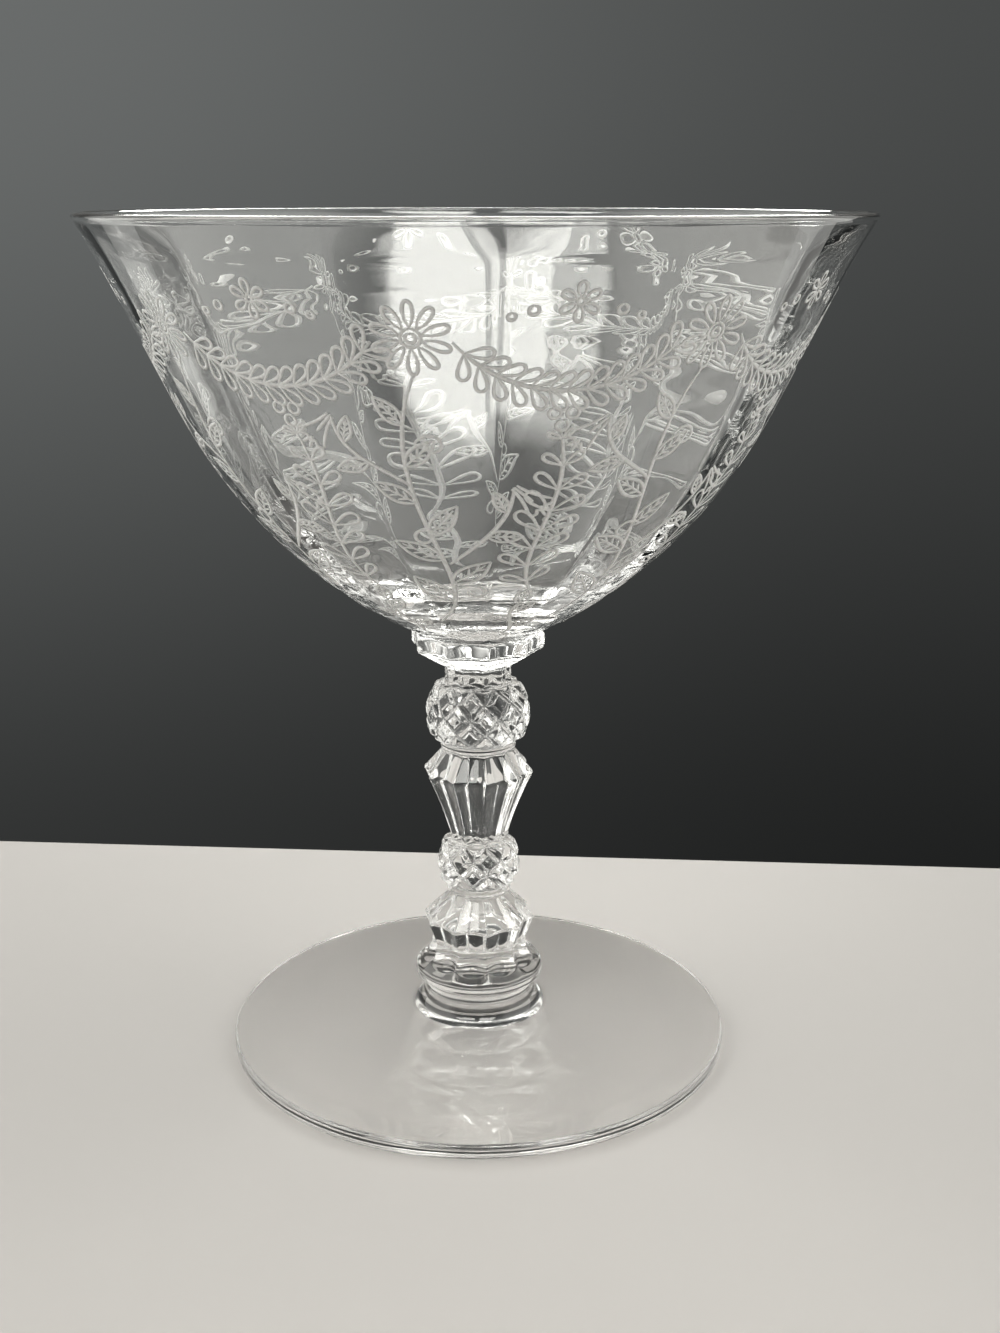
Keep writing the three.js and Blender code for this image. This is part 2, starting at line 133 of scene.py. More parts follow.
class StemSettings(bpy.types.PropertyGroup):
    """Sizes of the pressed stem, from the base ring up."""

    foot_seat: frame_size("Foot seat", STEM_LOW.z, "Height of the seat on the foot's hub")
    top: frame_size("Top", STEM_HIGH.z, "Height of the collar's top face")
    sides: how_many("Sides", 10, 3, "Number of facets round the stem")
    ridge_turn: turn("Ridge turn", 9.5, "Turn of the ridges from the front")
    ridge_round: size("Ridge round", 0.2, "Half width of the fire-polished upright ridges")
    facet_hollow: share("Facet hollow", 0.08, "Depth of a facet up to the baluster, over its ridge radius")
    collar_hollow: share("Collar hollow", 0.035, "The same on the neck and the collar")
    edge_round: size("Edge round", 0.4, "Fire-polished rounding of the level edges")
    ring_radius: size("Ring radius", 9.8, "Radius of the round base ring")
    ring_overhang: size("Ring overhang", 1.5, "How far the ring stands out over the hub")
    ring_edge: size("Ring edge", 1.6, "Height of the ring's upright edge")
    ring_slope: size("Ring slope", 0.8, "Height of the sloping face above the edge")
    scallop_radius: size("Scallop radius", 8.6, "Radius where the flutes run out")
    scallop_rise: size("Scallop rise", 0.6, "How much higher they run out at the ridges")
    cove: size("Cove", 3.7, "Height of the cove")
    cove_pinch: size("Cove pinch", 7.3, "Ridge radius in the waist of the cove")
    flute_scoop: size("Flute scoop", 0.35, "How far each flute of the cove is scooped out")
    flute_foot: size("Flute foot", 0.3, "Rise of a flute over its spoon-like lower end")
    knop_band_radius: size("Knop band radius", 7.5, "Ridge radius at the bottom of the knop's band")
    knop_band: size("Knop band", 3.2, "Height of the knop's band")
    knop_radius: size("Knop radius", 8.75, "Ridge radius of the knop at its widest")
    knop_shoulder: size("Knop shoulder", 4.3, "Height of the facets above the widest ring")
    knop_top_radius: size("Knop top radius", 4.3, "Ridge radius under the small ball")
    small_height: size("Small ball height", 9.1, "Height of the small diamond-cut ball")
    small_radius: size("Small ball radius", 6.3, "Radius of the small ball")
    small_end: size("Small ball end", 4.7, "Radius of the small ball at its ends")
    small_bead: size("Small bead", 1.0, "Height of the round bead under the small ball")
    small_bead_radius: size("Small bead radius", 4.9, "Radius of that bead")
    small_diamonds: how_many("Small diamonds", 8, 3, "Diamonds round the small ball")
    small_turn: turn("Small turn", -8.0, "Turn of the small ball's diamonds from the front")
    small_lean: turn("Small lean", -5.1, "Lean of a row of the small ball's diamonds")
    small_step: turn("Small step", 19.3, "Lean from one row of the small ball's diamonds to the next")
    taper: size("Taper", 10.3, "Height of the baluster's long taper")
    taper_foot: size("Taper foot", 4.5, "Ridge radius at the foot of the taper")
    taper_swell: size("Taper swell", 6.0, "Radius that bends the taper hollow")
    baluster_radius: size("Baluster radius", 8.5, "Ridge radius of the baluster at its widest")
    baluster_shoulder: size("Baluster shoulder", 3.6, "Height of the facets above the widest ring")
    baluster_top: size("Baluster top", 5.3, "Ridge radius under the large ball")
    large_height: size("Large ball height", 10.8, "Height of the large diamond-cut ball")
    large_radius: size("Large ball radius", 7.85, "Radius of the large ball")
    large_end: size("Large ball end", 5.5, "Radius of the large ball at its ends")
    large_bead: size("Large bead", 1.0, "Height of the round bead under the large ball")
    large_bead_radius: size("Large bead radius", 5.65, "Radius of that bead")
    large_diamonds: how_many("Large diamonds", 10, 3, "Diamonds round the large ball")
    large_turn: turn("Large turn", 9.0, "Turn of the large ball's diamonds from the front")
    large_lean: turn("Large lean", 4.7, "Lean of a row of the large ball's diamonds")
    large_step: turn("Large step", 20.0, "Lean from one row of the large ball's diamonds to the next")
    diamond_depth: size("Diamond depth", 0.75, "Depth of the V grooves between the diamonds")
    diamond_bevel: share("Diamond bevel", 0.2, "Width of a diamond's bevel, as a share of its pitch")
    bead_bulge: size("Bead bulge", 0.4, "How far a bead bulges over its edges")
    neck: size("Neck", 2.0, "Height of the neck")
    neck_radius: size("Neck radius", 5.05, "Ridge radius of the neck")
    collar_cone: size("Collar cone", 3.0, "Height of the facets that flare out to the collar")
    collar_radius: size("Collar radius", 10.0, "Ridge radius of the collar")
    collar_round: size("Collar round", 0.6, "Fire-polished rounding of the collar's edges")


class FootSettings(bpy.types.PropertyGroup):
    """Sizes of the spun foot."""

    radius: frame_size("Radius", FOOT_HIGH.x, "Outer radius of the foot")
    hub_top: frame_size("Hub top", FOOT_HIGH.z, "Height of the hub's seat")
    hub_radius: size("Hub radius", 8.3, "Radius of the hub's seat")
    edge: size("Edge", 2.2, "Height of the edge")
    edge_round: size("Edge round", 0.7, "Rounding of the edge, above and below")
    rest: size("Rest", 5.0, "Width of the flat ring that the foot stands on")
    hollow: size("Hollow", 0.6, "Depth of the hollow underside at the axis")
    sweep_radius: size("Sweep radius", 11.0, "Radius where the hub's sweep leaves the upper face")
    sweep_height: size("Sweep height", 5.18, "Height of the upper face there")


class EtchSettings(bpy.types.PropertyGroup):
    """The etched band on the outside of the bowl."""

    repeats: how_many("Repeats", 8, 1, "Times the spray repeats round the bowl")
    band_turn: turn("Band turn", -9.0, "Turn of the first spray from the front")
    stalk: size("Stalk", 0.32, "Half width of a stalk")
    line: size("Line", 0.26, "Half width of an outline")
    vein: size("Vein", 0.17, "Half width of a vein")
    lift: size("Lift", 0.012, "How far the frost stands off the glass")
    crown: size("Crown", 0.03, "Thickness of the frost at the middle of a line")


class GlassSettings(bpy.types.PropertyGroup):
    """Finishes of the glass."""

    tint: colour("Tint", (0.985, 0.988, 0.985), "Colour that light takes on passing a face of the glass")
    refraction: FloatProperty(name="Refraction", description="Index of refraction of the crystal",
                              default=1.52, min=1.0, max=2.0)
    frost: colour("Frost", (0.94, 0.945, 0.94), "Colour of the etched lines")


class StageSettings(bpy.types.PropertyGroup):
    """Floor, backdrop, room, lights and camera."""

    floor: colour("Floor", (0.585, 0.56, 0.545), "Colour of the pale floor")
    backdrop: colour("Backdrop", (0.062, 0.065, 0.064), "Colour of the dark board behind the glass")
    board_place: size("Board place", 70.0, "How far behind the axis the board stands")
    board_width: size("Board width", 300.0, "Width of the board")
    board_height: size("Board height", 134.0, "Height of the board")
    room: colour("Room", (1.0, 0.995, 0.945), "Colour of the room")
    wall_foot: number("Wall foot", 1.2, "Brightness of the side walls at their foot")
    wall_top: number("Wall top", 2.1, "Brightness of the side walls at their top")
    right_box: number("Right soft box", 9.8, "Brightness of the soft box in front on the right")
    left_box: number("Left soft box", 10.0, "Brightness of the soft box in front on the left")
    back_light: number("Back light", 18.0, "Brightness of the light above and behind the board")
    ceiling: number("Ceiling", 0.8, "Brightness of the ceiling")
    shade: number("Shade", 0.15, "Brightness of the room in front and high up behind the board")
    camera_height: size("Camera height", 126.4, "Height of the camera over the floor")
    camera_distance: size("Camera distance", 234.3, "Level distance from the camera to the axis")
    camera_pitch: turn("Camera pitch", 16.06, "How far the camera looks down")
    camera_yaw: turn("Camera yaw", 0.8, "How far the camera looks past the glass, to the right")
    focal_length: FloatProperty(name="Focal length", description="Lens, in millimetres on a 36 mm sensor",
                                default=44.45, min=1.0)


class SherbetSettings(bpy.types.PropertyGroup):
    """All the settings of the sherbet glass."""

    bowl: PointerProperty(type=BowlSettings)
    stem: PointerProperty(type=StemSettings)
    foot: PointerProperty(type=FootSettings)
    etch: PointerProperty(type=EtchSettings)
    glass: PointerProperty(type=GlassSettings)
    stage: PointerProperty(type=StageSettings)


# Curves and meshes

CORNER_ROWS = 7
RUN_PITCH = 0.6 * MM
# How far columns are drawn towards the ridges: 0 leaves them even
RIDGE_DRAW = 0.45
# Where the rings of a round seat lie, as shares of its radius
SEAT_ROWS = np.array([0.35, 0.7, 1.0])


def bezier(start, start_handle, end_handle, end, count):
    """Cubic curve: each point mixes the ends and handles by the four Bernstein weights of its place."""
    t = np.linspace(0.0, 1.0, count)[:, None]
    s = 1.0 - t
    return s**3 * start + 3 * s**2 * t * start_handle + 3 * s * t**2 * end_handle + t**3 * end


def quadratic(start, handle, end, count):
    """Quadratic curve, or one for each column: each point mixes start, handle and end by the squares of its
    place."""
    t = np.linspace(0.0, 1.0, count).reshape(-1, *[1] * np.ndim(end))
    return (1 - t)**2 * start + 2 * (1 - t) * t * handle + t**2 * end


def straight(start, end, pitch):
    """Points on a straight run, evenly spaced at about one pitch."""
    count = max(2, int(round(np.linalg.norm(end - start) / pitch)) + 1)
    return start + (end - start) * np.linspace(0.0, 1.0, count)[:, None]


def leaning(angle, length):
    """A step in a profile that leans outwards from upright by an angle."""
    return length * np.array([math.sin(angle), math.cos(angle)])


def filleted(corners, rounding):
    """A profile of straight runs with its corners rounded: each inner corner becomes a quadratic curve
    between points set back along its two runs. Rounding is one set-back for all corners or one for each."""
    corners = [np.array(corner) for corner in corners]
    set_backs = np.broadcast_to(rounding, len(corners) - 2)
    runs = []
    start = corners[0]
    for before, corner, after, set_back in zip(corners, corners[1:], corners[2:], set_backs):
        way_in = (corner - before) / np.linalg.norm(corner - before)
        way_out = (after - corner) / np.linalg.norm(after - corner)
        first = corner - set_back * way_in
        last = corner + set_back * way_out
        runs.append(straight(start, first, RUN_PITCH)[:-1])
        runs.append(quadratic(first, corner, last, CORNER_ROWS)[:-1])
        start = last
    runs.append(straight(start, corners[-1], RUN_PITCH))
    return np.concatenate(runs)


def drawn_angles(columns, sides, first):
    """Angles of columns round a piece with a number of sides: even along each side, then drawn towards the
    ridges by a sine; the first ridge is at the angle given."""
    place = np.arange(columns) * sides / columns
    drawn_place = place - RIDGE_DRAW * np.sin(FULL_TURN * place) / FULL_TURN
    return first + drawn_place * FULL_TURN / sides


def turn_from_middle(angles, sides, first, rounding):
    """The turn at each angle from the middle of the nearest side, largest at the ridges, where a hyperbola
    rounds it; the first ridge and the rounding are angles."""
    half = math.pi / sides
    turn_from_ridge = np.abs((angles - first + half) % (2 * half) - half)
    return half - np.hypot(turn_from_ridge, rounding)


def spun(profile, columns):
    """Radius and height of a profile's rings, the same in every column."""
    return np.repeat(profile[:, :1], columns, axis=1), np.repeat(profile[:, 1:], columns, axis=1)


def seat_disc(radius, height):
    """The profile of a flat round seat from near the axis outwards, short of its edge."""
    return np.stack([radius * SEAT_ROWS[:-1], np.full(len(SEAT_ROWS) - 1, height)], axis=-1)


def mesh_object(name, vertices, quads, triangles, materials, face_slots=None):
    """An object from whole arrays of vertices, quads and triangles, smooth-shaded, in the row frame."""
    mesh = bpy.data.meshes.new(name)
    loops = np.concatenate([quads.ravel(), triangles.ravel()]).astype(np.int32)
    quad_starts = 4 * np.arange(len(quads))
    triangle_starts = 4 * len(quads) + 3 * np.arange(len(triangles))
    starts = np.concatenate([quad_starts, triangle_starts]).astype(np.int32)
    mesh.vertices.add(len(vertices))
    mesh.vertices.foreach_set("co", np.ascontiguousarray(vertices, np.float32).ravel())
    mesh.loops.add(len(loops))
    mesh.loops.foreach_set("vertex_index", loops)
    mesh.polygons.add(len(starts))
    mesh.polygons.foreach_set("loop_start", starts)
    for material in materials:
        mesh.materials.append(material)
    mesh.update(calc_edges=True)
    mesh.polygons.foreach_set("use_smooth", np.ones(len(starts), bool))
    if face_slots is not None:
        mesh.polygons.foreach_set("material_index", face_slots.astype(np.int32))
    if mesh.validate():
        raise RuntimeError(f"{name} has faces that are not valid")
    piece = bpy.data.objects.new(name, mesh)
    bpy.context.scene.collection.objects.link(piece)
    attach(piece, BODY)
    return piece


def turned_glass(name, node, angles, radius, height, ends, glass, fused_rows):
    """A closed skin of rings in clear glass that stands for a node: vertex (row, column) lies at its row's
    radius and height and its column's angle from the front, and a point on the axis closes each end. The
    faces over fused_rows take the fused finish; row -1 is the point at the lower end."""
    rows, columns = radius.shape
    x = radius * np.sin(angles)
    y = -radius * np.cos(angles)
    rings = np.stack([x, y, height], axis=-1).reshape(-1, 3)
    points = np.array([[0.0, 0.0, end] for end in ends])
    vertices = np.concatenate([rings, points])
    here = np.arange(columns)
    after = (here + 1) % columns
    base = columns * np.arange(rows - 1)[:, None]
    quads = np.stack([base + here, base + after, base + columns + after, base + columns + here], axis=-1)
    low_point = rows * columns
    last = (rows - 1) * columns
    low_fan = np.stack([np.full(columns, low_point), after, here], axis=-1)
    high_fan = np.stack([last + here, last + after, np.full(columns, low_point + 1)], axis=-1)
    slots = np.repeat(np.isin(np.arange(-1, rows), fused_rows), columns)
    face_slots = np.concatenate([slots[columns:-columns], slots[:columns], slots[-columns:]])
    piece = mesh_object(name, vertices, quads.reshape(-1, 4), np.concatenate([low_fan, high_fan]),
                        glass_finishes(glass), face_slots)
    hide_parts(node)


# Finishes

POLISH_WAVES = 140.0
POLISH_DETAIL = 1.0
POLISH_STRENGTH = 0.03
POLISH_DEPTH = 0.2 * MM
FROST_ROUGHNESS = 0.6
GRAIN_SCALE = 2500.0
GRAIN_DETAIL = 2.0
GRAIN_SPAN = (0.3, 0.7)
GRAIN_SHADE = 0.8


def new_finish(name):
    """A new material, with its node tree and its shader."""
    material = bpy.data.materials.new(name)
    material.use_nodes = True
    tree = material.node_tree
    return material, tree, tree.nodes["Principled BSDF"]


def noise(tree, scale, detail):
    """Noise that is fixed to the piece."""
    place = tree.nodes.new("ShaderNodeTexCoord")
    grain = tree.nodes.new("ShaderNodeTexNoise")
    grain.inputs["Scale"].default_value = scale
    grain.inputs["Detail"].default_value = detail
    tree.links.new(place.outputs["Object"], grain.inputs["Vector"])
    return grain.outputs["Fac"]


def clear_glass(glass):
    """Fire-polished crystal: smooth, fully clear, with a breath of unevenness in its polish."""
    material, tree, shader = new_finish("polished_crystal")
    shader.inputs["Base Color"].default_value = (*glass.tint, 1.0)
    shader.inputs["Roughness"].default_value = 0.0
    shader.inputs["IOR"].default_value = glass.refraction
    shader.inputs["Transmission Weight"].default_value = 1.0
    bump = tree.nodes.new("ShaderNodeBump")
    bump.inputs["Strength"].default_value = POLISH_STRENGTH
    bump.inputs["Distance"].default_value = POLISH_DEPTH
    tree.links.new(noise(tree, POLISH_WAVES, POLISH_DETAIL), bump.inputs["Height"])
    tree.links.new(bump.outputs["Normal"], shader.inputs["Normal"])
    return material


def fused_glass():
    """Where two pieces are melted together: nothing is left of the faces, so light goes straight through."""
    material, _, shader = new_finish("fused_crystal")
    shader.inputs["Base Color"].default_value = (1.0, 1.0, 1.0, 1.0)
    shader.inputs["Alpha"].default_value = 0.0
    return material


def etched_frost(glass):
    """Acid-etched frost: matt white with a fine sugary grain."""
    material, tree, shader = new_finish("acid_frost")
    shader.inputs["Roughness"].default_value = FROST_ROUGHNESS
    ramp = tree.nodes.new("ShaderNodeValToRGB")
    for stop, place, shade in zip(ramp.color_ramp.elements, GRAIN_SPAN, (GRAIN_SHADE, 1.0)):
        stop.position = place
        stop.color = (*(shade * part for part in glass.frost), 1.0)
    tree.links.new(noise(tree, GRAIN_SCALE, GRAIN_DETAIL), ramp.inputs["Fac"])
    tree.links.new(ramp.outputs["Color"], shader.inputs["Base Color"])
    return material


def finish(name, make, *settings):
    """A finish by name, made once."""
    return bpy.data.materials.get(name) or make(*settings)


def glass_finishes(glass):
    """The two finishes of every glass piece: clear faces first, fused faces second."""
    return [finish("polished_crystal", clear_glass, glass), finish("fused_crystal", fused_glass)]


# Bowl

SIDE_ROWS = 52
BELLY_ROWS = 70
LIP_ROWS = 11
BOWL_COLUMNS = 320
# How steeply the panels die out at the rim and at the bottom
OPTIC_FADE = 3.5
# The most that the inner face stands in, as a share of its radius
MOST_STAND = 0.1
# Rings left by blowing: share of the ripple, radians from row to row and start
BLOWING_RINGS = ((1.0, 0.61, 0.0), (0.7, 0.37, 1.0), (0.5, 1.13, 2.0))
# How the rings drift round the bowl: share, then waves round the bowl and start of two sines
DRIFT = 0.6
DRIFT_SINES = ((3, 0.5), (5, 0.0))


def outer_outline(bowl):
    """The outer face from the seat to the rim, as radius and height: the belly's cubic curve, whose handles
    lean with the seat and the side, then the side's cubic curve, whose handles lean with the side and the
    rim."""
    rim = np.array([bowl.rim_radius, bowl.lip_top - bowl.lip_rise])
    waist = np.array([bowl.waist_radius, bowl.seat_height + bowl.waist_rise])
    seat = np.array([bowl.seat_radius, bowl.seat_height])
    belly = bezier(seat, seat + leaning(bowl.seat_lean, bowl.seat_reach),
                   waist - leaning(bowl.side_lean, bowl.belly_reach), waist, BELLY_ROWS)
    side = bezier(waist, waist + leaning(bowl.side_lean, bowl.side_reach),
                  rim - leaning(bowl.rim_lean, bowl.rim_reach), rim, SIDE_ROWS)
    return np.concatenate([belly, side[1:]])


def inner_outline(bowl):
    """The inner face from the rim to the axis: the outer side moved in by the wall, then a cubic curve that
    comes level at the axis."""
    rim = np.array([bowl.rim_radius - bowl.rim_wall, bowl.lip_top - bowl.lip_rise])
    waist = np.array([bowl.waist_radius, bowl.seat_height + bowl.waist_rise])
    waist = waist - leaning(bowl.side_lean + math.pi / 2, bowl.side_wall)
    base = np.array([0.0, bowl.seat_height + bowl.base_wall])
    side = bezier(rim, rim - leaning(bowl.rim_lean, bowl.rim_reach),
                  waist + leaning(bowl.side_lean, bowl.side_reach), waist, SIDE_ROWS)
    belly = bezier(waist, waist - leaning(bowl.side_lean, bowl.inner_belly_reach),
                   base + np.array([bowl.inner_base_reach, 0.0]), base, BELLY_ROWS)
    return np.concatenate([side, belly[1:]])


def optic_wall(bowl, angles, inner):
    """How far the inner face stands in at each row and column: each panel is drawn towards the flat side of a
    polygon, the panel's distance over the cosine of the turn from its middle; the panels die out at the rim
    and at the bottom, and faint level rings left by blowing lie over them."""
    corner = bowl.panel_corner / bowl.waist_radius
    off_middle = turn_from_middle(angles, bowl.panels, bowl.optic_turn, corner)
    flat = bowl.panel_flat * (1 - math.cos(math.pi / bowl.panels) / np.cos(off_middle))
    along = np.linspace(0.0, 1.0, len(inner))
    fade = np.clip(OPTIC_FADE * np.sin(math.pi * along), 0.0, 1.0)[:, None]
    rows = np.arange(len(inner))[:, None]
    blown = sum(depth * np.sin(pace * rows + start) for depth, pace, start in BLOWING_RINGS)
    drift = 1.0 + DRIFT * math.prod(np.sin(waves * angles + start) for waves, start in DRIFT_SINES)
    return fade * (inner[:, :1] * flat - bowl.panel_thin + bowl.ripple * blown * drift)


def make_bowl(settings):
    """The bowl's wall: seat disc, outer outline, half-round lip and inner outline turned about the axis, with
    the optic pressed into the inner face."""
    bowl = settings.bowl
    angles = drawn_angles(BOWL_COLUMNS, bowl.panels, bowl.optic_turn)
    inner = inner_outline(bowl)
    bend = np.linspace(0.0, math.pi, LIP_ROWS)[1:-1]
    lip_radius = bowl.rim_radius - bowl.rim_wall / 2 + bowl.rim_wall / 2 * np.cos(bend)
    lip_height = bowl.lip_top - bowl.lip_rise + bowl.lip_rise * np.sin(bend)
    lip = np.stack([lip_radius, lip_height], axis=-1)
    seat = seat_disc(bowl.seat_radius, bowl.seat_height)
    outside = np.concatenate([seat, outer_outline(bowl), lip])
    radius, height = spun(np.concatenate([outside, inner[:-1]]), BOWL_COLUMNS)
    stand = optic_wall(bowl, angles, inner)[:-1]
    radius[len(outside):] -= np.minimum(stand, MOST_STAND * radius[len(outside):])
    ends = (bowl.seat_height, inner[-1, 1])
    turned_glass("bowl_glass", "bowl", angles, radius, height, ends, settings.glass, np.arange(-1, len(seat)))


# Etching

# Motifs are drawn in millimetres on the unrolled wall of one repeat: x to the right of its middle line, y up
# the slant of the wall from the seat. A heading of 0 points up the wall and grows to the right, in radians.

STROKE_POINTS = 16
PLACE = np.linspace(0.0, 1.0, STROKE_POINTS)
BOTH_SIDES = (-1, 1)


def steps_from(base, heading, along, aside):
    """Paths of steps ahead and to the right of a heading, from a base: one path for each base and heading."""
    heading = np.broadcast_to(heading, len(base))
    ahead = np.stack([np.sin(heading), np.cos(heading)], axis=-1)[:, None, :]
    right = np.stack([np.cos(heading), -np.sin(heading)], axis=-1)[:, None, :]
    return base[:, None, :] + along[..., None] * ahead + aside[..., None] * right


def mirrored(base, heading, along, aside):
    """The same steps to the left and to the right of a heading."""
    return np.concatenate([steps_from(base, heading, along, side * aside) for side in BOTH_SIDES])


def swing(start, start_handle, end_handle, end):
    """One stroke along a cubic curve."""
    points = np.array([start, start_handle, end_handle, end], float)
    return bezier(*points, STROKE_POINTS)[None]


def on_curve(curve, places):
    """Points and headings at places from 0 to 1 along a stroke."""
    slopes = np.gradient(curve[0], axis=0)
    point = np.stack([np.interp(places, PLACE, curve[0, :, axis]) for axis in (0, 1)], axis=-1)
    slope = np.stack([np.interp(places, PLACE, slopes[:, axis]) for axis in (0, 1)], axis=-1)
    return point, np.arctan2(slope[:, 0], slope[:, 1])


LEAF_SWELL = 0.8
MIDRIB_END = 0.85
VEIN_FEET = (0.2, 0.4, 0.6)
VEIN_RUN = 0.17
VEIN_SPREAD = 0.7


def leaf_outlines(base, heading, length, plump):
    """Both edges of pointed leaves: they swell aside by a sine of the place along the leaf, fullest near its
    foot."""
    aside = plump * length[:, None] * np.sin(math.pi * PLACE**LEAF_SWELL)
    return mirrored(base, heading, length[:, None] * PLACE, aside)


def leaf_veins(base, heading, length, plump):
    """The midrib and pairs of side veins of pointed leaves; each side vein runs ahead and out towards the
    edge."""
    ribs = [steps_from(base, heading, MIDRIB_END * length[:, None] * PLACE, 0.0 * PLACE[None, :])]
    for foot in VEIN_FEET:
        along = length[:, None] * (foot + VEIN_RUN * PLACE)
        edge = plump * length[:, None] * math.sin(math.pi * (foot + VEIN_RUN)**LEAF_SWELL)
        ribs.append(mirrored(base, heading, along, VEIN_SPREAD * edge * PLACE))
    return np.concatenate(ribs)


PETAL_FILL = 0.85
PETAL_TIP = 0.8
PETAL_SHOULDER = 0.5


def petals(centre, inner, outer, count):
    """A ring of petal loops: each goes out by a rounded sine and swings from one side to the other by a
    cosine; together they fill a share of the circle two thirds of the way out."""
    heading = FULL_TURN * np.arange(count) / count
    half = PETAL_FILL * math.pi * (inner + 2 * outer) / 3 / count
    swell = np.sin(math.pi * PLACE)
    along = inner + (outer - inner) * swell**PETAL_TIP
    aside = -half * np.cos(math.pi * PLACE) * swell**PETAL_SHOULDER
    base = np.repeat(np.array([centre], float), count, axis=0)
    return steps_from(base, heading, along[None, :], aside[None, :])


LOOP_TIP = 0.9


def loops(base, heading, length, plump):
    """Small leaves in one stroke: out along one edge, round the tip and back along the other."""
    along = length[:, None] * np.sin(math.pi * PLACE)**LOOP_TIP
    aside = -plump * length[:, None] * np.sin(FULL_TURN * PLACE)
    return steps_from(base, heading, along, aside)


def leaflets(curve, places, spread, length, plump):
    """Small leaves in pairs along a curve, each turned away from it by the spread."""
    base, heading = on_curve(curve, places)
    return np.concatenate([loops(base, heading + side * spread, length, plump) for side in BOTH_SIDES])


def rings(centres, radius):
    """Circles round centres."""
    centres = np.array(centres, float)
    turns = FULL_TURN * PLACE
    along = np.repeat(radius * np.cos(turns)[None, :], len(centres), axis=0)
    aside = np.repeat(radius * np.sin(turns)[None, :], len(centres), axis=0)
    return steps_from(centres, 0.0, along, aside)


CURL_PACE = 1.6


def tendril(start, heading, reach, curl):
    """A stroke that leaves straight and winds up: its heading turns faster and faster along the way."""
    heading = heading + curl * PLACE**CURL_PACE
    step = reach / STROKE_POINTS * np.stack([np.sin(heading), np.cos(heading)], axis=-1)
    return (np.array(start, float) + np.cumsum(step, axis=0))[None]


# Sizes of a bell, as shares of its length
BELL_TOP = 0.1
BELL_HEM = 0.46
BELL_FLARE = 1.8
HEM_SCALLOPS = 3
HEM_DROP = 0.09
BELL_RIB = 0.7
STAMEN_FOOT = 0.95
STAMEN_LENGTH = 0.35
STAMEN_SPREAD = 0.14


def bell(base, heading, length):
    """A hanging bell: two flaring sides, a scalloped hem, a middle rib and two stamens."""
    base = base[None, :]
    along = length * PLACE[None, :]
    flare = length * (BELL_TOP + (BELL_HEM - BELL_TOP) * PLACE**BELL_FLARE)[None, :]
    hem = length * (1.0 + HEM_DROP * np.abs(np.sin(HEM_SCALLOPS * math.pi * PLACE)))[None, :]
    across = length * BELL_HEM * (2 * PLACE - 1)[None, :]
    stamen = length * (STAMEN_FOOT + STAMEN_LENGTH * PLACE)[None, :]
    return np.concatenate([mirrored(base, heading, along, flare),
                           steps_from(base, heading, hem, across),
                           steps_from(base, heading, BELL_RIB * along, 0.0 * along),
                           mirrored(base, heading, stamen, STAMEN_SPREAD * along)])


# The spray: lines by their ends and handles, places along them from 0 to 1
STALK_LINE = ((-2.0, 11.0), (7.5, 25.0), (-8.0, 40.0), (0.0, 57.0))
RIGHT_BRANCH = ((1.3, 27.0), (5.0, 31.0), (10.0, 35.0), (10.5, 41.0))
LEFT_BRANCH = ((-1.9, 41.0), (-5.0, 44.0), (-10.5, 45.0), (-11.0, 51.0))
LEAF_PLACES = np.array([0.16, 0.27, 0.39, 0.5, 0.62, 0.74, 0.86])
LEAF_SIDES = np.array([-1, 1, -1, 1, -1, 1, -1])
LEAF_LENGTHS = np.linspace(7.8, 5.0, len(LEAF_PLACES))
LEAF_SPREAD = 0.85
LEAF_PLUMP = 0.2
TWIG_PLACES = np.array([0.45, 0.75])
TWIG_SPREADS = np.array([0.9, -0.8])
TWIG_LENGTHS = np.array([4.6, 3.8])
TWIG_PLUMP = 0.22
BELL_HEADING = 2.4
BELL_LENGTH = 4.6
# Tendrils: start, heading, reach and curl
TENDRILS = (((1.2, 21.0), 0.9, 9.0, 5.5), ((-1.2, 47.0), 0.6, 8.0, 5.5), ((1.0, 33.0), -1.0, 8.0, -5.5))
DAISY = (0.0, 61.5)
DAISY_PETALS = dict(inner=1.3, outer=4.7, count=10)
DAISY_RINGS = (1.2, 0.6)


def spray_strokes(etch):
    """One spray: a winding stalk with veined leaves and tendrils, two branches with leaves and a bell each,
    and a daisy on top."""
    stalk = swing(*STALK_LINE)
    base, heading = on_curve(stalk, LEAF_PLACES)
    leaves = [(base, heading + LEAF_SIDES * LEAF_SPREAD, LEAF_LENGTHS, LEAF_PLUMP)]
    outlines = [petals(DAISY, **DAISY_PETALS)]
    outlines += [rings([DAISY], radius) for radius in DAISY_RINGS]
    outlines += [tendril(*sizes) for sizes in TENDRILS]
    branches = [swing(*LEFT_BRANCH), swing(*RIGHT_BRANCH)]
    for side, branch in zip(BOTH_SIDES, branches):
        base, heading = on_curve(branch, TWIG_PLACES)
        leaves.append((base, heading + side * TWIG_SPREADS, TWIG_LENGTHS, TWIG_PLUMP))
        outlines.append(bell(branch[0, -1], side * BELL_HEADING, BELL_LENGTH))
    outlines += [leaf_outlines(*leaf) for leaf in leaves]
    veins = [leaf_veins(*leaf) for leaf in leaves]
    return drawn(([stalk, *branches], etch.stalk), (outlines, etch.line), (veins, etch.vein))


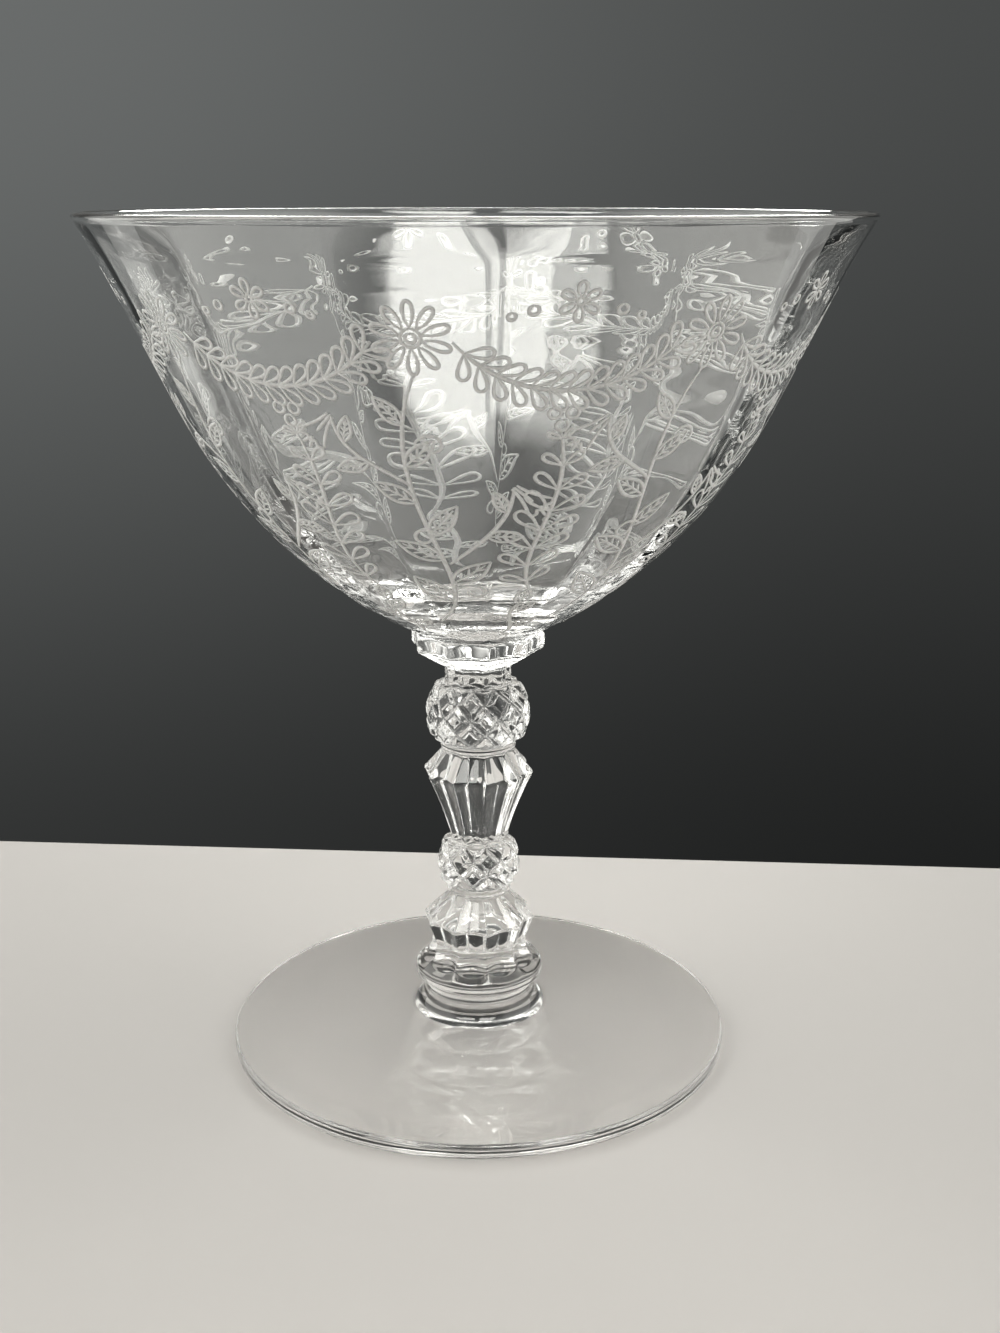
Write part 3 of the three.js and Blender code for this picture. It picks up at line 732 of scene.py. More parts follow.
# The garland
SWAG_END = 61.0
SWAG_DIP = 52.5
SWAG_HANDLE = 0.45
DAISY_ROOM = 4.8
LAUREL_PLACES = np.linspace(0.06, 0.94, 13)
LAUREL_LEAVES = dict(spread=0.75, length=np.full(len(LAUREL_PLACES), 3.5), plump=0.2)
FROND_LINE = ((1.0, 20.0), (-4.0, 30.0), (3.5, 38.0), (0.0, 49.0))
FROND_PLACES = np.linspace(0.1, 0.97, 8)
FROND_LENGTHS = 5.0 * np.sin(math.pi * (0.2 + 0.7 * FROND_PLACES))
FROND_LEAVES = dict(spread=0.95, length=FROND_LENGTHS, plump=0.17)
SPRIG_LINE = ((0.0, 6.0), (2.0, 9.0), (-2.0, 13.0), (0.0, 17.0))
SPRIG_PLACES = np.array([0.3, 0.55, 0.8, 1.0])
SPRIG_SPREADS = np.array([1.0, -1.0, 0.9, -0.2])
SPRIG_LENGTHS = np.array([4.2, 4.2, 3.8, 4.0])
SPRIG_PLUMP = 0.26
FLORET = (0.0, 66.0)
FLORET_PETALS = dict(inner=0.5, outer=2.5, count=6)
# Circles: centres and radius of the floret's eye and of the berries
CIRCLES = (([FLORET], 0.45), ([(-1.1, 51.6), (1.1, 51.6), (0.0, 49.9)], 0.75),
           ([(-5.2, 65.0), (5.2, 65.0)], 0.6), ([(-7.6, 64.2), (7.6, 64.2)], 0.45))


def garland_strokes(etch, edge):
    """What joins two sprays, drawn about the line half way between them: a laurel swag with berries, a
    frond, a floret and a sprig; edge is half the width of a repeat at the height of the daisies."""
    across = edge - DAISY_ROOM
    handle = SWAG_HANDLE * across
    swag = swing((-across, SWAG_END), (-handle, SWAG_DIP), (handle, SWAG_DIP), (across, SWAG_END))
    spine = swing(*FROND_LINE)
    sprig = swing(*SPRIG_LINE)
    base, heading = on_curve(sprig, SPRIG_PLACES)
    leaves = (base, heading + SPRIG_SPREADS, SPRIG_LENGTHS, SPRIG_PLUMP)
    outlines = [leaflets(swag, LAUREL_PLACES, **LAUREL_LEAVES), leaflets(spine, FROND_PLACES, **FROND_LEAVES),
                petals(FLORET, **FLORET_PETALS), leaf_outlines(*leaves)]
    outlines += [rings(centres, radius) for centres, radius in CIRCLES]
    veins = [leaf_veins(*leaves)]
    return drawn(([swag, spine, sprig], etch.stalk), (outlines, etch.line), (veins, etch.vein))


def drawn(*lots):
    """Lots of strokes and their half widths, joined up as one array of paths and one of half widths, in
    metres."""
    paths = [np.concatenate(strokes) for strokes, _ in lots]
    widths = [np.full(len(path), half) for path, (_, half) in zip(paths, lots)]
    return np.concatenate(paths) * MM, np.concatenate(widths)


RIBBON_POINTS = 3
# Width of a ribbon at its ends, and how far along it comes to its full width, both as shares
END_WIDTH = 0.55
END_REACH = 0.1875
LEAST_STEP = 1e-9
# How far the daisies lie under the lip
DAISY_DROP = 13.0 * MM


def make_etched(name, strokes, centre, settings):
    """Strokes as closed ribbons on the bowl's outer face, repeated round it: each point becomes a left
    edge, a crown and a right edge, square to the stroke, laid on the outline by its slant length and lifted
    along its normal. A ribbon narrows in a straight line towards both ends."""
    paths, widths = strokes
    etch = settings.etch
    outline = outer_outline(settings.bowl)
    slant = np.concatenate([[0.0], np.cumsum(np.linalg.norm(np.diff(outline, axis=0), axis=1))])
    slope = np.gradient(outline, slant, axis=0)
    ahead = np.gradient(paths, axis=1)
    ahead = ahead / np.maximum(np.linalg.norm(ahead, axis=-1, keepdims=True), LEAST_STEP)
    right = np.stack([ahead[..., 1], -ahead[..., 0]], axis=-1)
    from_end = np.minimum(PLACE, 1 - PLACE)
    taper = np.minimum(END_WIDTH + (1 - END_WIDTH) * from_end / END_REACH, 1.0)
    half = (widths[:, None] * taper)[..., None]
    points = np.stack([paths - half * right, paths, paths + half * right], axis=2)
    lift = etch.lift + etch.crown * np.array([0.0, 1.0, 0.0])
    wall_radius, wall_height, outward, upward = (np.interp(points[..., 1], slant, column)
                                                 for column in (*outline.T, *slope.T))
    turns = centre + FULL_TURN * np.arange(etch.repeats) / etch.repeats
    angle = points[..., 0] / wall_radius + turns[:, None, None, None]
    radius = np.broadcast_to(wall_radius + lift * upward, angle.shape)
    height = np.broadcast_to(wall_height - lift * outward, angle.shape)
    vertices = np.stack([radius * np.sin(angle), -radius * np.cos(angle), height], axis=-1).reshape(-1, 3)
    ribbons = len(paths) * etch.repeats
    first = RIBBON_POINTS * STROKE_POINTS * np.arange(ribbons)[:, None, None]
    ring = first + RIBBON_POINTS * np.arange(STROKE_POINTS - 1)[None, :, None]
    here = np.arange(RIBBON_POINTS)
    after = (here + 1) % RIBBON_POINTS
    next_ring = ring + RIBBON_POINTS
    quads = np.stack([ring + here, ring + after, next_ring + after, next_ring + here], axis=-1).reshape(-1, 4)
    last = RIBBON_POINTS * (STROKE_POINTS - 1)
    caps = np.concatenate([first[:, 0] + np.array([0, 2, 1]), first[:, 0] + last + np.array([2, 0, 1])])
    piece = mesh_object(name, vertices, quads, caps, [finish("acid_frost", etched_frost, settings.glass)])


def make_etching(settings):
    """The etched band: sprays, and the garland that joins them half way between."""
    etch = settings.etch
    outline = outer_outline(settings.bowl)
    half_repeat = math.pi / etch.repeats
    daisy_radius = np.interp(settings.bowl.lip_top - DAISY_DROP, outline[:, 1], outline[:, 0])
    make_etched("etched_sprays", spray_strokes(etch), etch.band_turn, settings)
    make_etched("etched_garland", garland_strokes(etch, daisy_radius * half_repeat / MM),
                etch.band_turn + half_repeat, settings)


# Stem

STEM_COLUMNS = 320
BALL_ROWS = 78
BEAD_ROWS = 9
TAPER_ROWS = 18
COVE_ROWS = 14
SLOPE_ROWS = 8
# Rounding of the base ring's upper corner, over that of the other edges
RING_CORNER = 1.5
# Rounding of a groove's bottom and of a diamond's edge, as shares of the bevel
GROOVE_ROUND = 0.12
CROWN_ROUND = 0.07
BALL_SIZES = ("height", "radius", "end", "bead", "bead_radius", "diamonds", "turn", "lean", "step")


def ridged(stem, angles, ridge_radius, depth):
    """Radius of a regular polygon with hollow sides and rounded ridges at each angle: the side's distance
    over the cosine of the turn from its middle, less a parabola that is deepest there."""
    half = math.pi / stem.sides
    ridge_radius = np.asarray(ridge_radius)
    off_middle = turn_from_middle(angles, stem.sides, stem.ridge_turn, stem.ridge_round / ridge_radius)
    hollow = depth * ridge_radius * (1 - (off_middle / half)**2)
    return ridge_radius * math.cos(half) / np.cos(off_middle) - hollow


def faceted_rows(stem, angles, profile, depth):
    """Rings of ridge radius and height, each a rounded polygon with hollow sides."""
    radius = ridged(stem, angles[None, :], profile[:, :1], depth)
    height = np.repeat(profile[:, 1:], len(angles), axis=1)
    return radius, height


def ball_sizes(stem, which):
    """The sizes of one ball, by their short names."""
    return SimpleNamespace(**{short: getattr(stem, f"{which}_{short}") for short in BALL_SIZES})


def bead_rows(stem, angles, foot, ball):
    """A round bead: half a circle of bulge on a plain ring, from its foot to its top."""
    bend = np.linspace(0.0, math.pi, BEAD_ROWS)
    radius = ball.bead_radius - stem.bead_bulge * (1 - np.sin(bend))
    height = foot + ball.bead / 2 * (1 - np.cos(bend))
    return spun(np.stack([radius, height], axis=-1), len(angles))


def soft_step(value):
    """Rises from 0 to 1 and then stays: a hyperbola rounds its foot, and a smooth minimum with 1 its
    shoulder."""
    risen = np.sqrt(value**2 + GROOVE_ROUND**2) - GROOVE_ROUND
    return (risen + 1 - np.sqrt((risen - 1)**2 + 4 * CROWN_ROUND**2)) / 2


def diamond_rows(stem, angles, foot, ball):
    """A diamond-cut ball over its bead: an arc through both ends and the widest point, with grooves cut
    square to it. Angle and lean are counted in half diamonds, their half sum and half difference run along
    the two sets of grooves, and the depth falls from the nearest groove over the bevel's width."""
    half = ball.height / 2
    rise = ball.radius - ball.end
    arc = (half**2 + rise**2) / (2 * rise)
    lean = np.linspace(math.asin((ball.bead - half) / arc), math.asin(half / arc), BALL_ROWS)[:, None]
    across = (angles[None, :] - ball.turn) * ball.diamonds / math.pi
    up = (lean - ball.lean) / ball.step
    first = (across + up) / 2
    second = (across - up) / 2
    to_first = 0.5 - np.abs(first - np.round(first))
    to_second = 0.5 - np.abs(second - np.round(second))
    to_end = 0.5 * np.minimum(up - up[0], up[-1] - up)
    nearest = np.minimum(np.minimum(to_first, to_second), to_end)
    depth = stem.diamond_depth * (1 - soft_step(nearest / stem.diamond_bevel))
    radius = ball.radius - arc + arc * np.cos(lean) - depth * np.cos(lean)
    height = foot + half + arc * np.sin(lean) - depth * np.sin(lean)
    return radius, height


def base_ring_rows(stem, angles):
    """The round base ring and the cove over it, column by column: seat, rounded edge, a slope to the
    scalloped line where the flutes run out, and a hollow curve up to the polygon under the knop's band. A
    handle draws its curve by half, so it takes the flutes' scoop twice."""
    columns = len(angles)
    place = ((angles - stem.ridge_turn) * stem.sides / FULL_TURN) % 1.0
    bow = 4 * place * (1 - place)
    edge_top = stem.foot_seat + stem.ring_edge
    cove_foot = edge_top + stem.ring_slope
    cove_top = cove_foot + stem.cove
    drawn_in = (stem.scallop_radius - stem.cove_pinch) * stem.scallop_rise / stem.cove
    scallop_radius = stem.scallop_radius - drawn_in * (1 - bow)
    scallop = np.stack([scallop_radius, cove_foot + stem.scallop_rise * (1 - bow)])
    hub = stem.ring_radius - stem.ring_overhang
    corner = np.array([stem.ring_radius, edge_top])
    lower = filleted([[hub, stem.foot_seat], [stem.ring_radius, stem.foot_seat], corner], stem.edge_round)
    lower = np.concatenate([seat_disc(hub, stem.foot_seat), lower[:-2]])
    lower = np.repeat(lower[:, :, None], columns, axis=2)
    way = scallop - corner[:, None]
    way = way / np.linalg.norm(way, axis=0)
    set_back = RING_CORNER * stem.edge_round
    before = corner[:, None] - np.array([[0.0], [set_back]])
    after = corner[:, None] + set_back * way
    bend = quadratic(before, corner[:, None], after, CORNER_ROWS)
    slope = after + (scallop - after) * np.linspace(0.0, 1.0, SLOPE_ROWS)[1:, None, None]
    band = ridged(stem, angles, stem.knop_band_radius, stem.facet_hollow)
    band = np.stack([band, np.full(columns, cove_top)])
    pinch = ridged(stem, angles, stem.cove_pinch, stem.facet_hollow)
    pinch = np.stack([pinch - 2 * stem.flute_scoop * bow, scallop[1] + stem.flute_foot])
    cove = quadratic(scallop, pinch, band, COVE_ROWS)[1:]
    rows = np.concatenate([lower, bend, slope, cove])
    return rows[:, 0, :], rows[:, 1, :], cove_top


def collar_corner_rows(stem, angles, seat_radius):
    """The rounded upper edge of the collar, column by column: a quadratic curve from the polygon up its own
    face and in to the round seat."""
    polygon = ridged(stem, angles, stem.collar_radius, stem.collar_hollow)
    t = np.linspace(0.0, 1.0, CORNER_ROWS)[1:-1, None]
    radius = (1 - t**2) * polygon + t**2 * seat_radius
    height = np.repeat(stem.top - stem.collar_round * (1 - t)**2, len(angles), axis=1)
    return radius, height


def seat_rows(seat_radius, top):
    """The flat round seat on the collar, from its edge towards the axis."""
    radius = np.repeat(seat_radius * SEAT_ROWS[::-1, None], STEM_COLUMNS, axis=1)
    return radius, np.full(radius.shape, top)


def make_stem(settings):
    """The stem as one closed skin, its rings stacked from the base ring up to the collar's seat."""
    stem = settings.stem
    small = ball_sizes(stem, "small")
    large = ball_sizes(stem, "large")
    angles = drawn_angles(STEM_COLUMNS, stem.sides, stem.ridge_turn)
    ring_radius, ring_height, cove_top = base_ring_rows(stem, angles)
    knop_widest = cove_top + stem.knop_band
    knop_top = knop_widest + stem.knop_shoulder
    taper_foot = knop_top + small.height
    baluster_widest = taper_foot + stem.taper
    baluster_top = baluster_widest + stem.baluster_shoulder
    neck_foot = baluster_top + large.height
    neck_top = neck_foot + stem.neck
    collar_foot = neck_top + stem.collar_cone
    knop = filleted([[stem.knop_band_radius, cove_top], [stem.knop_radius, knop_widest],
                     [stem.knop_top_radius, knop_top]], stem.edge_round)
    taper = quadratic(np.array([stem.taper_foot, taper_foot]),
                      np.array([stem.taper_swell, taper_foot + stem.taper / 2]),
                      np.array([stem.baluster_radius, baluster_widest]), TAPER_ROWS)
    shoulder = filleted([taper[-2], taper[-1], [stem.baluster_top, baluster_top]], stem.edge_round)
    baluster = np.concatenate([taper[:-2], shoulder])
    collar = filleted([[stem.neck_radius, neck_foot], [stem.neck_radius, neck_top],
                       [stem.collar_radius, collar_foot], [stem.collar_radius, stem.top - stem.collar_round]],
                      [stem.edge_round, stem.collar_round])
    runs = [(ring_radius, ring_height),
            faceted_rows(stem, angles, knop[1:], stem.facet_hollow),
            bead_rows(stem, angles, knop_top, small),
            diamond_rows(stem, angles, knop_top, small),
            faceted_rows(stem, angles, baluster, stem.facet_hollow),
            bead_rows(stem, angles, baluster_top, large),
            diamond_rows(stem, angles, baluster_top, large),
            faceted_rows(stem, angles, collar, stem.collar_hollow),
            collar_corner_rows(stem, angles, settings.bowl.seat_radius),
            seat_rows(settings.bowl.seat_radius, stem.top)]
    radius = np.concatenate([run[0] for run in runs])
    height = np.concatenate([run[1] for run in runs])
    rows = len(radius)
    fused = np.concatenate([np.arange(-1, len(SEAT_ROWS) - 1), np.arange(rows - len(SEAT_ROWS), rows)])
    ends = (stem.foot_seat, stem.top)
    turned_glass("stem_glass", "stem", angles, radius, height, ends, settings.glass, fused)


# Foot

FOOT_COLUMNS = 256
HOLLOW_ROWS = 30
EDGE_ROWS = 9
HUB_ROWS = 30
UPPER_PITCH = 1.0 * MM


def make_foot(settings):
    """The foot's profile turned about the axis: hollow underside, standing ring, rounded edge, a gently coned
    upper face and a hub that sweeps up to its seat."""
    foot = settings.foot
    angles = FULL_TURN * np.arange(FOOT_COLUMNS) / FOOT_COLUMNS
    rest_outer = foot.radius - foot.edge_round
    rest_inner = rest_outer - foot.rest
    slope = (foot.sweep_height - foot.edge) / (rest_outer - foot.sweep_radius)
    hollow = quadratic(np.array([0.0, foot.hollow]), np.array([rest_inner / 2, foot.hollow]),
                       np.array([rest_inner, 0.0]), HOLLOW_ROWS)[1:]
    edge_low = quadratic(np.array([rest_outer, 0.0]), np.array([foot.radius, 0.0]),
                         np.array([foot.radius, foot.edge_round]), EDGE_ROWS)
    edge_high = quadratic(np.array([foot.radius, foot.edge - foot.edge_round]),
                          np.array([foot.radius, foot.edge]), np.array([rest_outer, foot.edge]), EDGE_ROWS)
    upper = straight(edge_high[-1], np.array([foot.sweep_radius, foot.sweep_height]), UPPER_PITCH)[1:]
    knee = np.array([foot.hub_radius, foot.sweep_height + slope * (foot.sweep_radius - foot.hub_radius)])
    hub = quadratic(upper[-1], knee, np.array([foot.hub_radius, foot.hub_top]), HUB_ROWS)[1:]
    seat = seat_disc(foot.hub_radius, foot.hub_top)[::-1]
    profile = np.concatenate([hollow, edge_low, edge_high, upper, hub, seat])
    radius, height = spun(profile, FOOT_COLUMNS)
    rows = len(profile)
    fused = np.arange(rows - len(SEAT_ROWS), rows)
    ends = (foot.hollow, foot.hub_top)
    turned_glass("foot_glass", "foot", angles, radius, height, ends, settings.glass, fused)


# Stage

def graded(tree, source, span, values):
    """The source mapped smoothly from the two ends of a span to two values."""
    node = tree.nodes.new("ShaderNodeMapRange")
    node.interpolation_type = "SMOOTHSTEP"
    for socket, value in zip(("From Min", "From Max", "To Min", "To Max"), (*span, *values)):
        node.inputs[socket].default_value = value
    tree.links.new(source, node.inputs["Value"])
    return node.outputs["Result"]


def worked(tree, operation, *sources):
    """The result of a sum on sockets."""
    node = tree.nodes.new("ShaderNodeMath")
    node.operation = operation
    for source, socket in zip(sources, node.inputs):
        tree.links.new(source, socket)
    return node.outputs["Value"]


def between(tree, factor, first, second):
    """First where the factor is 0, second where it is 1; each is a socket or a plain number."""
    node = tree.nodes.new("ShaderNodeMix")
    tree.links.new(factor, node.inputs["Factor"])
    for source, socket in ((first, node.inputs["A"]), (second, node.inputs["B"])):
        if isinstance(source, float):
            socket.default_value = source
        else:
            tree.links.new(source, socket)
    return node.outputs["Result"]


def tinted(tree, tone, strength):
    """A colour times a strength."""
    node = tree.nodes.new("ShaderNodeVectorMath")
    node.operation = "SCALE"
    node.inputs[0].default_value = tone
    tree.links.new(strength, node.inputs["Scale"])
    return node.outputs["Vector"]


def split_place(tree, output):
    """The three parts of a texture coordinate."""
    place = tree.nodes.new("ShaderNodeTexCoord")
    split = tree.nodes.new("ShaderNodeSeparateXYZ")
    tree.links.new(place.outputs[output], split.inputs["Vector"])
    return [split.outputs[axis] for axis in "XYZ"]


FLOOR_SIDE = 0.7
FLOOR_FRONT = -0.9
FLOOR_THICKNESS = 0.02
FLOOR_DROP = 0.05 * MM
FLOOR_ROUGHNESS = 0.75
BOARD_SKEW = 0.085


def staged(name, vertices, faces):
    """A plain object of the stage, with its node tree and its shader."""
    mesh = bpy.data.meshes.new(name)
    mesh.from_pydata(vertices.tolist(), [], faces)
    material, tree, shader = new_finish(name)
    mesh.materials.append(material)
    piece = bpy.data.objects.new(name, mesh)
    bpy.context.scene.collection.objects.link(piece)
    return piece, tree, shader


def board_depth(stage, side):
    """How far behind the axis the foot of the board lies at a place to the right: a slightly skewed line."""
    return stage.board_place - BOARD_SKEW * side


def make_floor(stage):
    """A pale table top that ends at the foot of the board, a hair under the glass."""
    left, right = -FLOOR_SIDE, FLOOR_SIDE
    top = np.array([[left, FLOOR_FRONT, 0], [right, FLOOR_FRONT, 0],
                    [right, board_depth(stage, right), 0], [left, board_depth(stage, left), 0]])
    vertices = np.concatenate([top - [0, 0, FLOOR_THICKNESS], top])
    faces = [(3, 2, 1, 0), (4, 5, 6, 7), (0, 1, 5, 4), (1, 2, 6, 5), (2, 3, 7, 6), (3, 0, 4, 7)]
    floor, _, shader = staged("floor", vertices, faces)
    floor.location.z = -FLOOR_DROP
    shader.inputs["Base Color"].default_value = (*stage.floor, 1.0)
    shader.inputs["Roughness"].default_value = FLOOR_ROUGHNESS


def glowing(piece, tree, shader, tone, strength):
    """Makes a piece of the stage glow by a colour times a strength. The glass shows it; the camera does not
    see it by itself, and it casts no shadow."""
    shader.inputs["Base Color"].default_value = (0.0, 0.0, 0.0, 1.0)
    shader.inputs["Specular IOR Level"].default_value = 0.0
    shader.inputs["Emission Color"].default_value = (*tone, 1.0)
    tree.links.new(strength, shader.inputs["Emission Strength"])
    piece.visible_camera = False
    piece.visible_diffuse = False
    piece.visible_shadow = False


def eased(value):
    """Rises smoothly from 0 to 1 between 0 and 1, and stays level outside."""
    value = np.clip(value, 0.0, 1.0)
    return value**2 * (3 - 2 * value)


SHEET_COLUMNS = 41
SHEET_ROWS = 31
SHEET_DISTANCE = 0.8
SHEET_MIDDLE = np.array([0.0, 0.0, 0.09])
SHEET_FADE = 0.2
# Sheets of light, in degrees: heading from straight behind the glass, half spread, low edge, where the glow
# starts to fade, high edge
RIGHT_BOX = dict(heading=161, spread=20, low=43, full=60, high=75)
LEFT_BOX = dict(heading=213, spread=24, low=43, full=52, high=64)
BACK_LIGHT = dict(heading=0, spread=40, low=28, full=42, high=50)


def make_sheet(name, tone, radiance, heading, spread, low, full, high):
    """A glowing sheet, part of a ball round the glass: its glow is even from its low edge to the full line,
    then fades to its high edge, and fades over both ends."""
    across = np.linspace(-1.0, 1.0, SHEET_COLUMNS)
    rise = np.radians(np.linspace(low, high, SHEET_ROWS))[:, None]
    azimuth = np.radians(heading + spread * across)
    way = np.stack([np.cos(rise) * np.sin(azimuth), np.cos(rise) * np.cos(azimuth),
                    np.repeat(np.sin(rise), SHEET_COLUMNS, axis=1)], axis=-1)
    end_fade = eased((1 - np.abs(across)) / SHEET_FADE)
    glow = radiance * end_fade * eased((high - np.degrees(rise)) / (high - full))
    corner = SHEET_COLUMNS * np.arange(SHEET_ROWS - 1)[:, None] + np.arange(SHEET_COLUMNS - 1)
    quads = np.stack([corner, corner + 1, corner + SHEET_COLUMNS + 1, corner + SHEET_COLUMNS], axis=-1)
    vertices = SHEET_DISTANCE * way.reshape(-1, 3) + SHEET_MIDDLE
    sheet, tree, shader = staged(name, vertices, quads.reshape(-1, 4).tolist())
    sheet.data.attributes.new("glow", "FLOAT", "POINT").data.foreach_set("value", glow.ravel())
    reader = tree.nodes.new("ShaderNodeAttribute")
    reader.attribute_name = "glow"
    glowing(sheet, tree, shader, tone, reader.outputs["Fac"])


# Tones of the backdrop, as shares of its colour
UPWARD_TONES = (0.35, 1.75)
SIDEWAYS_TONES = (1.35, 0.6)
# Where they change: on the board in metres, in the room by the direction of the ray
BOARD_UPWARD = (0.0, 0.14)
BOARD_SIDEWAYS = (-0.1, 0.1)
ROOM_UPWARD = (-0.42, 0.12)
ROOM_SIDEWAYS = (-0.35, 0.35)


def backdrop_tone(tree, side, rise, sideways, upward):
    """A tone that grows upwards and to the left, over two spans."""
    return worked(tree, "MULTIPLY", graded(tree, rise, upward, UPWARD_TONES),
                  graded(tree, side, sideways, SIDEWAYS_TONES))


def make_board(stage):
    """The dark board that the glass shows behind it. It glows with painted light in place of being lit,
    lighter towards its top left; the camera sees like tones in the room instead."""
    side = np.array([-1.0, 1.0, 1.0, -1.0]) * stage.board_width / 2
    rise = np.array([0.0, 0.0, 1.0, 1.0]) * stage.board_height
    corners = np.stack([side, board_depth(stage, side), rise], axis=-1)
    board, tree, shader = staged("board", corners, [(0, 1, 2, 3)])
    side, _, rise = split_place(tree, "Object")
    tone = backdrop_tone(tree, side, rise, BOARD_SIDEWAYS, BOARD_UPWARD)
    # Painted light: the board glows by this tone instead of taking light from the room
    glowing(board, tree, shader, stage.backdrop, tone)


# Where one part of the room gives way to the next: azimuth from straight behind the glass in radians, or the
# upright part of the ray's direction
BACK_TO_SIDE = (0.65, 0.95)
SIDE_TO_FRONT = (1.95, 2.45)
BACKDROP_TOP = (0.35, 0.6)
CEILING_FOOT = (0.8, 0.9)
# How the walls and the ceiling change: over which part of the direction, and by which shares
WALL_UPWARD = (-0.1, 0.75)
WALL_SIDEWAYS = (-0.5, 0.5)
WALL_TONES = (1.1, 0.9)
CEILING_SIDEWAYS = (-0.4, 0.4)
CEILING_TONES = np.array([0.3, 1.7])
RISING = (0.0, 1.0)
FALLING = (1.0, 0.0)


def make_room(stage):
    """The world by the direction of the ray: a shaded room whose two side walls are bright and brighten
    upwards, under a plain ceiling; for the camera, dark tones behind the glass, lighter towards the top
    left."""
    world = bpy.data.worlds.new("room")
    bpy.context.scene.world = world
    world.use_nodes = True
    tree = world.node_tree
    side, depth, rise = split_place(tree, "Generated")
    azimuth = worked(tree, "ABSOLUTE", worked(tree, "ARCTAN2", side, depth))
    flank = worked(tree, "MULTIPLY", graded(tree, azimuth, BACK_TO_SIDE, RISING),
                   graded(tree, azimuth, SIDE_TO_FRONT, FALLING))
    wall = worked(tree, "MULTIPLY", graded(tree, rise, WALL_UPWARD, (stage.wall_foot, stage.wall_top)),
                  graded(tree, side, WALL_SIDEWAYS, WALL_TONES))
    ceiling = graded(tree, side, CEILING_SIDEWAYS, stage.ceiling * CEILING_TONES)
    around = between(tree, flank, stage.shade, wall)
    room = between(tree, graded(tree, rise, CEILING_FOOT, RISING), around, ceiling)
    tone = backdrop_tone(tree, side, rise, ROOM_SIDEWAYS, ROOM_UPWARD)
    behind = worked(tree, "MULTIPLY", graded(tree, azimuth, BACK_TO_SIDE, FALLING),
                    graded(tree, rise, BACKDROP_TOP, FALLING))
    path = tree.nodes.new("ShaderNodeLightPath")
    mix = tree.nodes.new("ShaderNodeMix")
    mix.data_type = "RGBA"
    tree.links.new(worked(tree, "MULTIPLY", behind, path.outputs["Is Camera Ray"]), mix.inputs["Factor"])
    tree.links.new(tinted(tree, stage.room, room), mix.inputs["A"])
    tree.links.new(tinted(tree, stage.backdrop, tone), mix.inputs["B"])
    tree.links.new(mix.outputs["Result"], tree.nodes["Background"].inputs["Color"])


SENSOR_WIDTH = 36.0
CLIP_START = 5.0 * MM


def make_camera(stage):
    """The camera, a little over the rim, in front of the glass and looking down at it."""
    camera = bpy.data.cameras.new("camera")
    camera.sensor_width = SENSOR_WIDTH
    camera.lens = stage.focal_length
    camera.clip_start = CLIP_START
    holder = bpy.data.objects.new("camera", camera)
    holder.location = (0.0, -stage.camera_distance, stage.camera_height)
    holder.rotation_euler = Euler((math.pi / 2 - stage.camera_pitch, 0.0, -stage.camera_yaw))
    bpy.context.scene.collection.objects.link(holder)
    bpy.context.scene.camera = holder


GLASS_BOUNCES = 40
FUSED_BOUNCES = 24


def make_stage(settings):
    """Floor, board, room, sheets of light and camera, and enough bounces for light to find its way through
    the stem."""
    stage = settings.stage
    make_floor(stage)
    make_board(stage)
    make_room(stage)
    make_sheet("soft_box_right", stage.room, stage.right_box, **RIGHT_BOX)
    make_sheet("soft_box_left", stage.room, stage.left_box, **LEFT_BOX)
    make_sheet("back_light", stage.room, stage.back_light, **BACK_LIGHT)
    make_camera(stage)
    scene = bpy.context.scene
    scene.view_settings.view_transform = "Standard"
    scene.cycles.max_bounces = GLASS_BOUNCES
    scene.cycles.transmission_bounces = GLASS_BOUNCES
    scene.cycles.glossy_bounces = GLASS_BOUNCES
    scene.cycles.transparent_max_bounces = FUSED_BOUNCES


# Operators and panel

class SHERBET_OT_bowl(bpy.types.Operator):
    """Builds the blown bowl with its optic panels"""

    bl_idname = "sherbet.bowl"
    bl_label = "Bowl"
    bl_options = {"REGISTER", "UNDO"}

    def execute(self, context):
        make_bowl(context.scene.sherbet)
        return {"FINISHED"}


class SHERBET_OT_etching(bpy.types.Operator):
    """Builds the etched sprays and the garland on the bowl"""

    bl_idname = "sherbet.etching"
    bl_label = "Etching"
    bl_options = {"REGISTER", "UNDO"}

    def execute(self, context):
        make_etching(context.scene.sherbet)
        return {"FINISHED"}


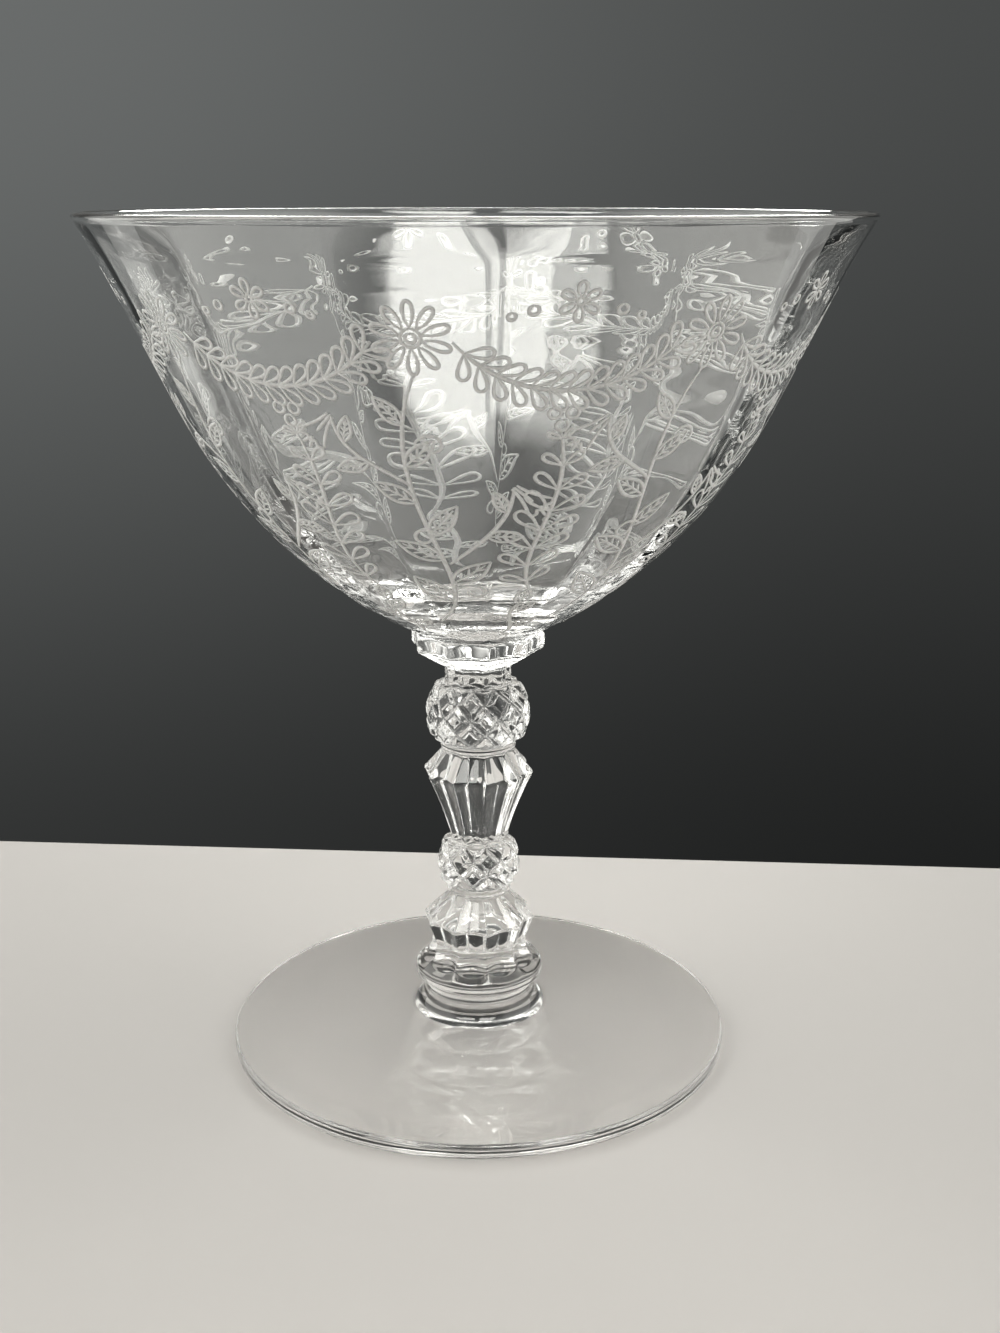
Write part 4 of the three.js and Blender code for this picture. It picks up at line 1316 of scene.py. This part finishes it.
class SHERBET_OT_stem(bpy.types.Operator):
    """Builds the pressed stem with its diamond-cut balls"""

    bl_idname = "sherbet.stem"
    bl_label = "Stem"
    bl_options = {"REGISTER", "UNDO"}

    def execute(self, context):
        make_stem(context.scene.sherbet)
        return {"FINISHED"}


class SHERBET_OT_foot(bpy.types.Operator):
    """Builds the spun foot with its hub"""

    bl_idname = "sherbet.foot"
    bl_label = "Foot"
    bl_options = {"REGISTER", "UNDO"}

    def execute(self, context):
        make_foot(context.scene.sherbet)
        return {"FINISHED"}


class SHERBET_OT_stage(bpy.types.Operator):
    """Builds the floor, board, room, lights and camera"""

    bl_idname = "sherbet.stage"
    bl_label = "Stage"
    bl_options = {"REGISTER", "UNDO"}

    def execute(self, context):
        make_stage(context.scene.sherbet)
        return {"FINISHED"}


OPERATORS = (SHERBET_OT_bowl, SHERBET_OT_etching, SHERBET_OT_stem, SHERBET_OT_foot, SHERBET_OT_stage)


class SHERBET_PT_panel(bpy.types.Panel):
    """Lists the steps that build the sherbet glass"""

    bl_idname = "SHERBET_PT_panel"
    bl_label = "Sherbet glass"
    bl_space_type = "VIEW_3D"
    bl_region_type = "UI"
    bl_category = "Sherbet glass"

    def draw(self, context):
        for operator in OPERATORS:
            self.layout.operator(operator.bl_idname)


GROUPS = (BowlSettings, StemSettings, FootSettings, EtchSettings, GlassSettings, StageSettings,
          SherbetSettings)
CLASSES = (*GROUPS, *OPERATORS, SHERBET_PT_panel)


def register():
    """Registers every class and hangs the settings on the scene."""
    for cls in CLASSES:
        bpy.utils.register_class(cls)
    bpy.types.Scene.sherbet = PointerProperty(type=SherbetSettings)


def unregister():
    """Takes the settings and the classes away again."""
    del bpy.types.Scene.sherbet
    for cls in reversed(CLASSES):
        bpy.utils.unregister_class(cls)


def main():
    register()
    bpy.ops.sherbet.bowl()
    bpy.ops.sherbet.etching()
    bpy.ops.sherbet.stem()
    bpy.ops.sherbet.foot()
    bpy.ops.sherbet.stage()


if __name__ == "__main__":
    main()
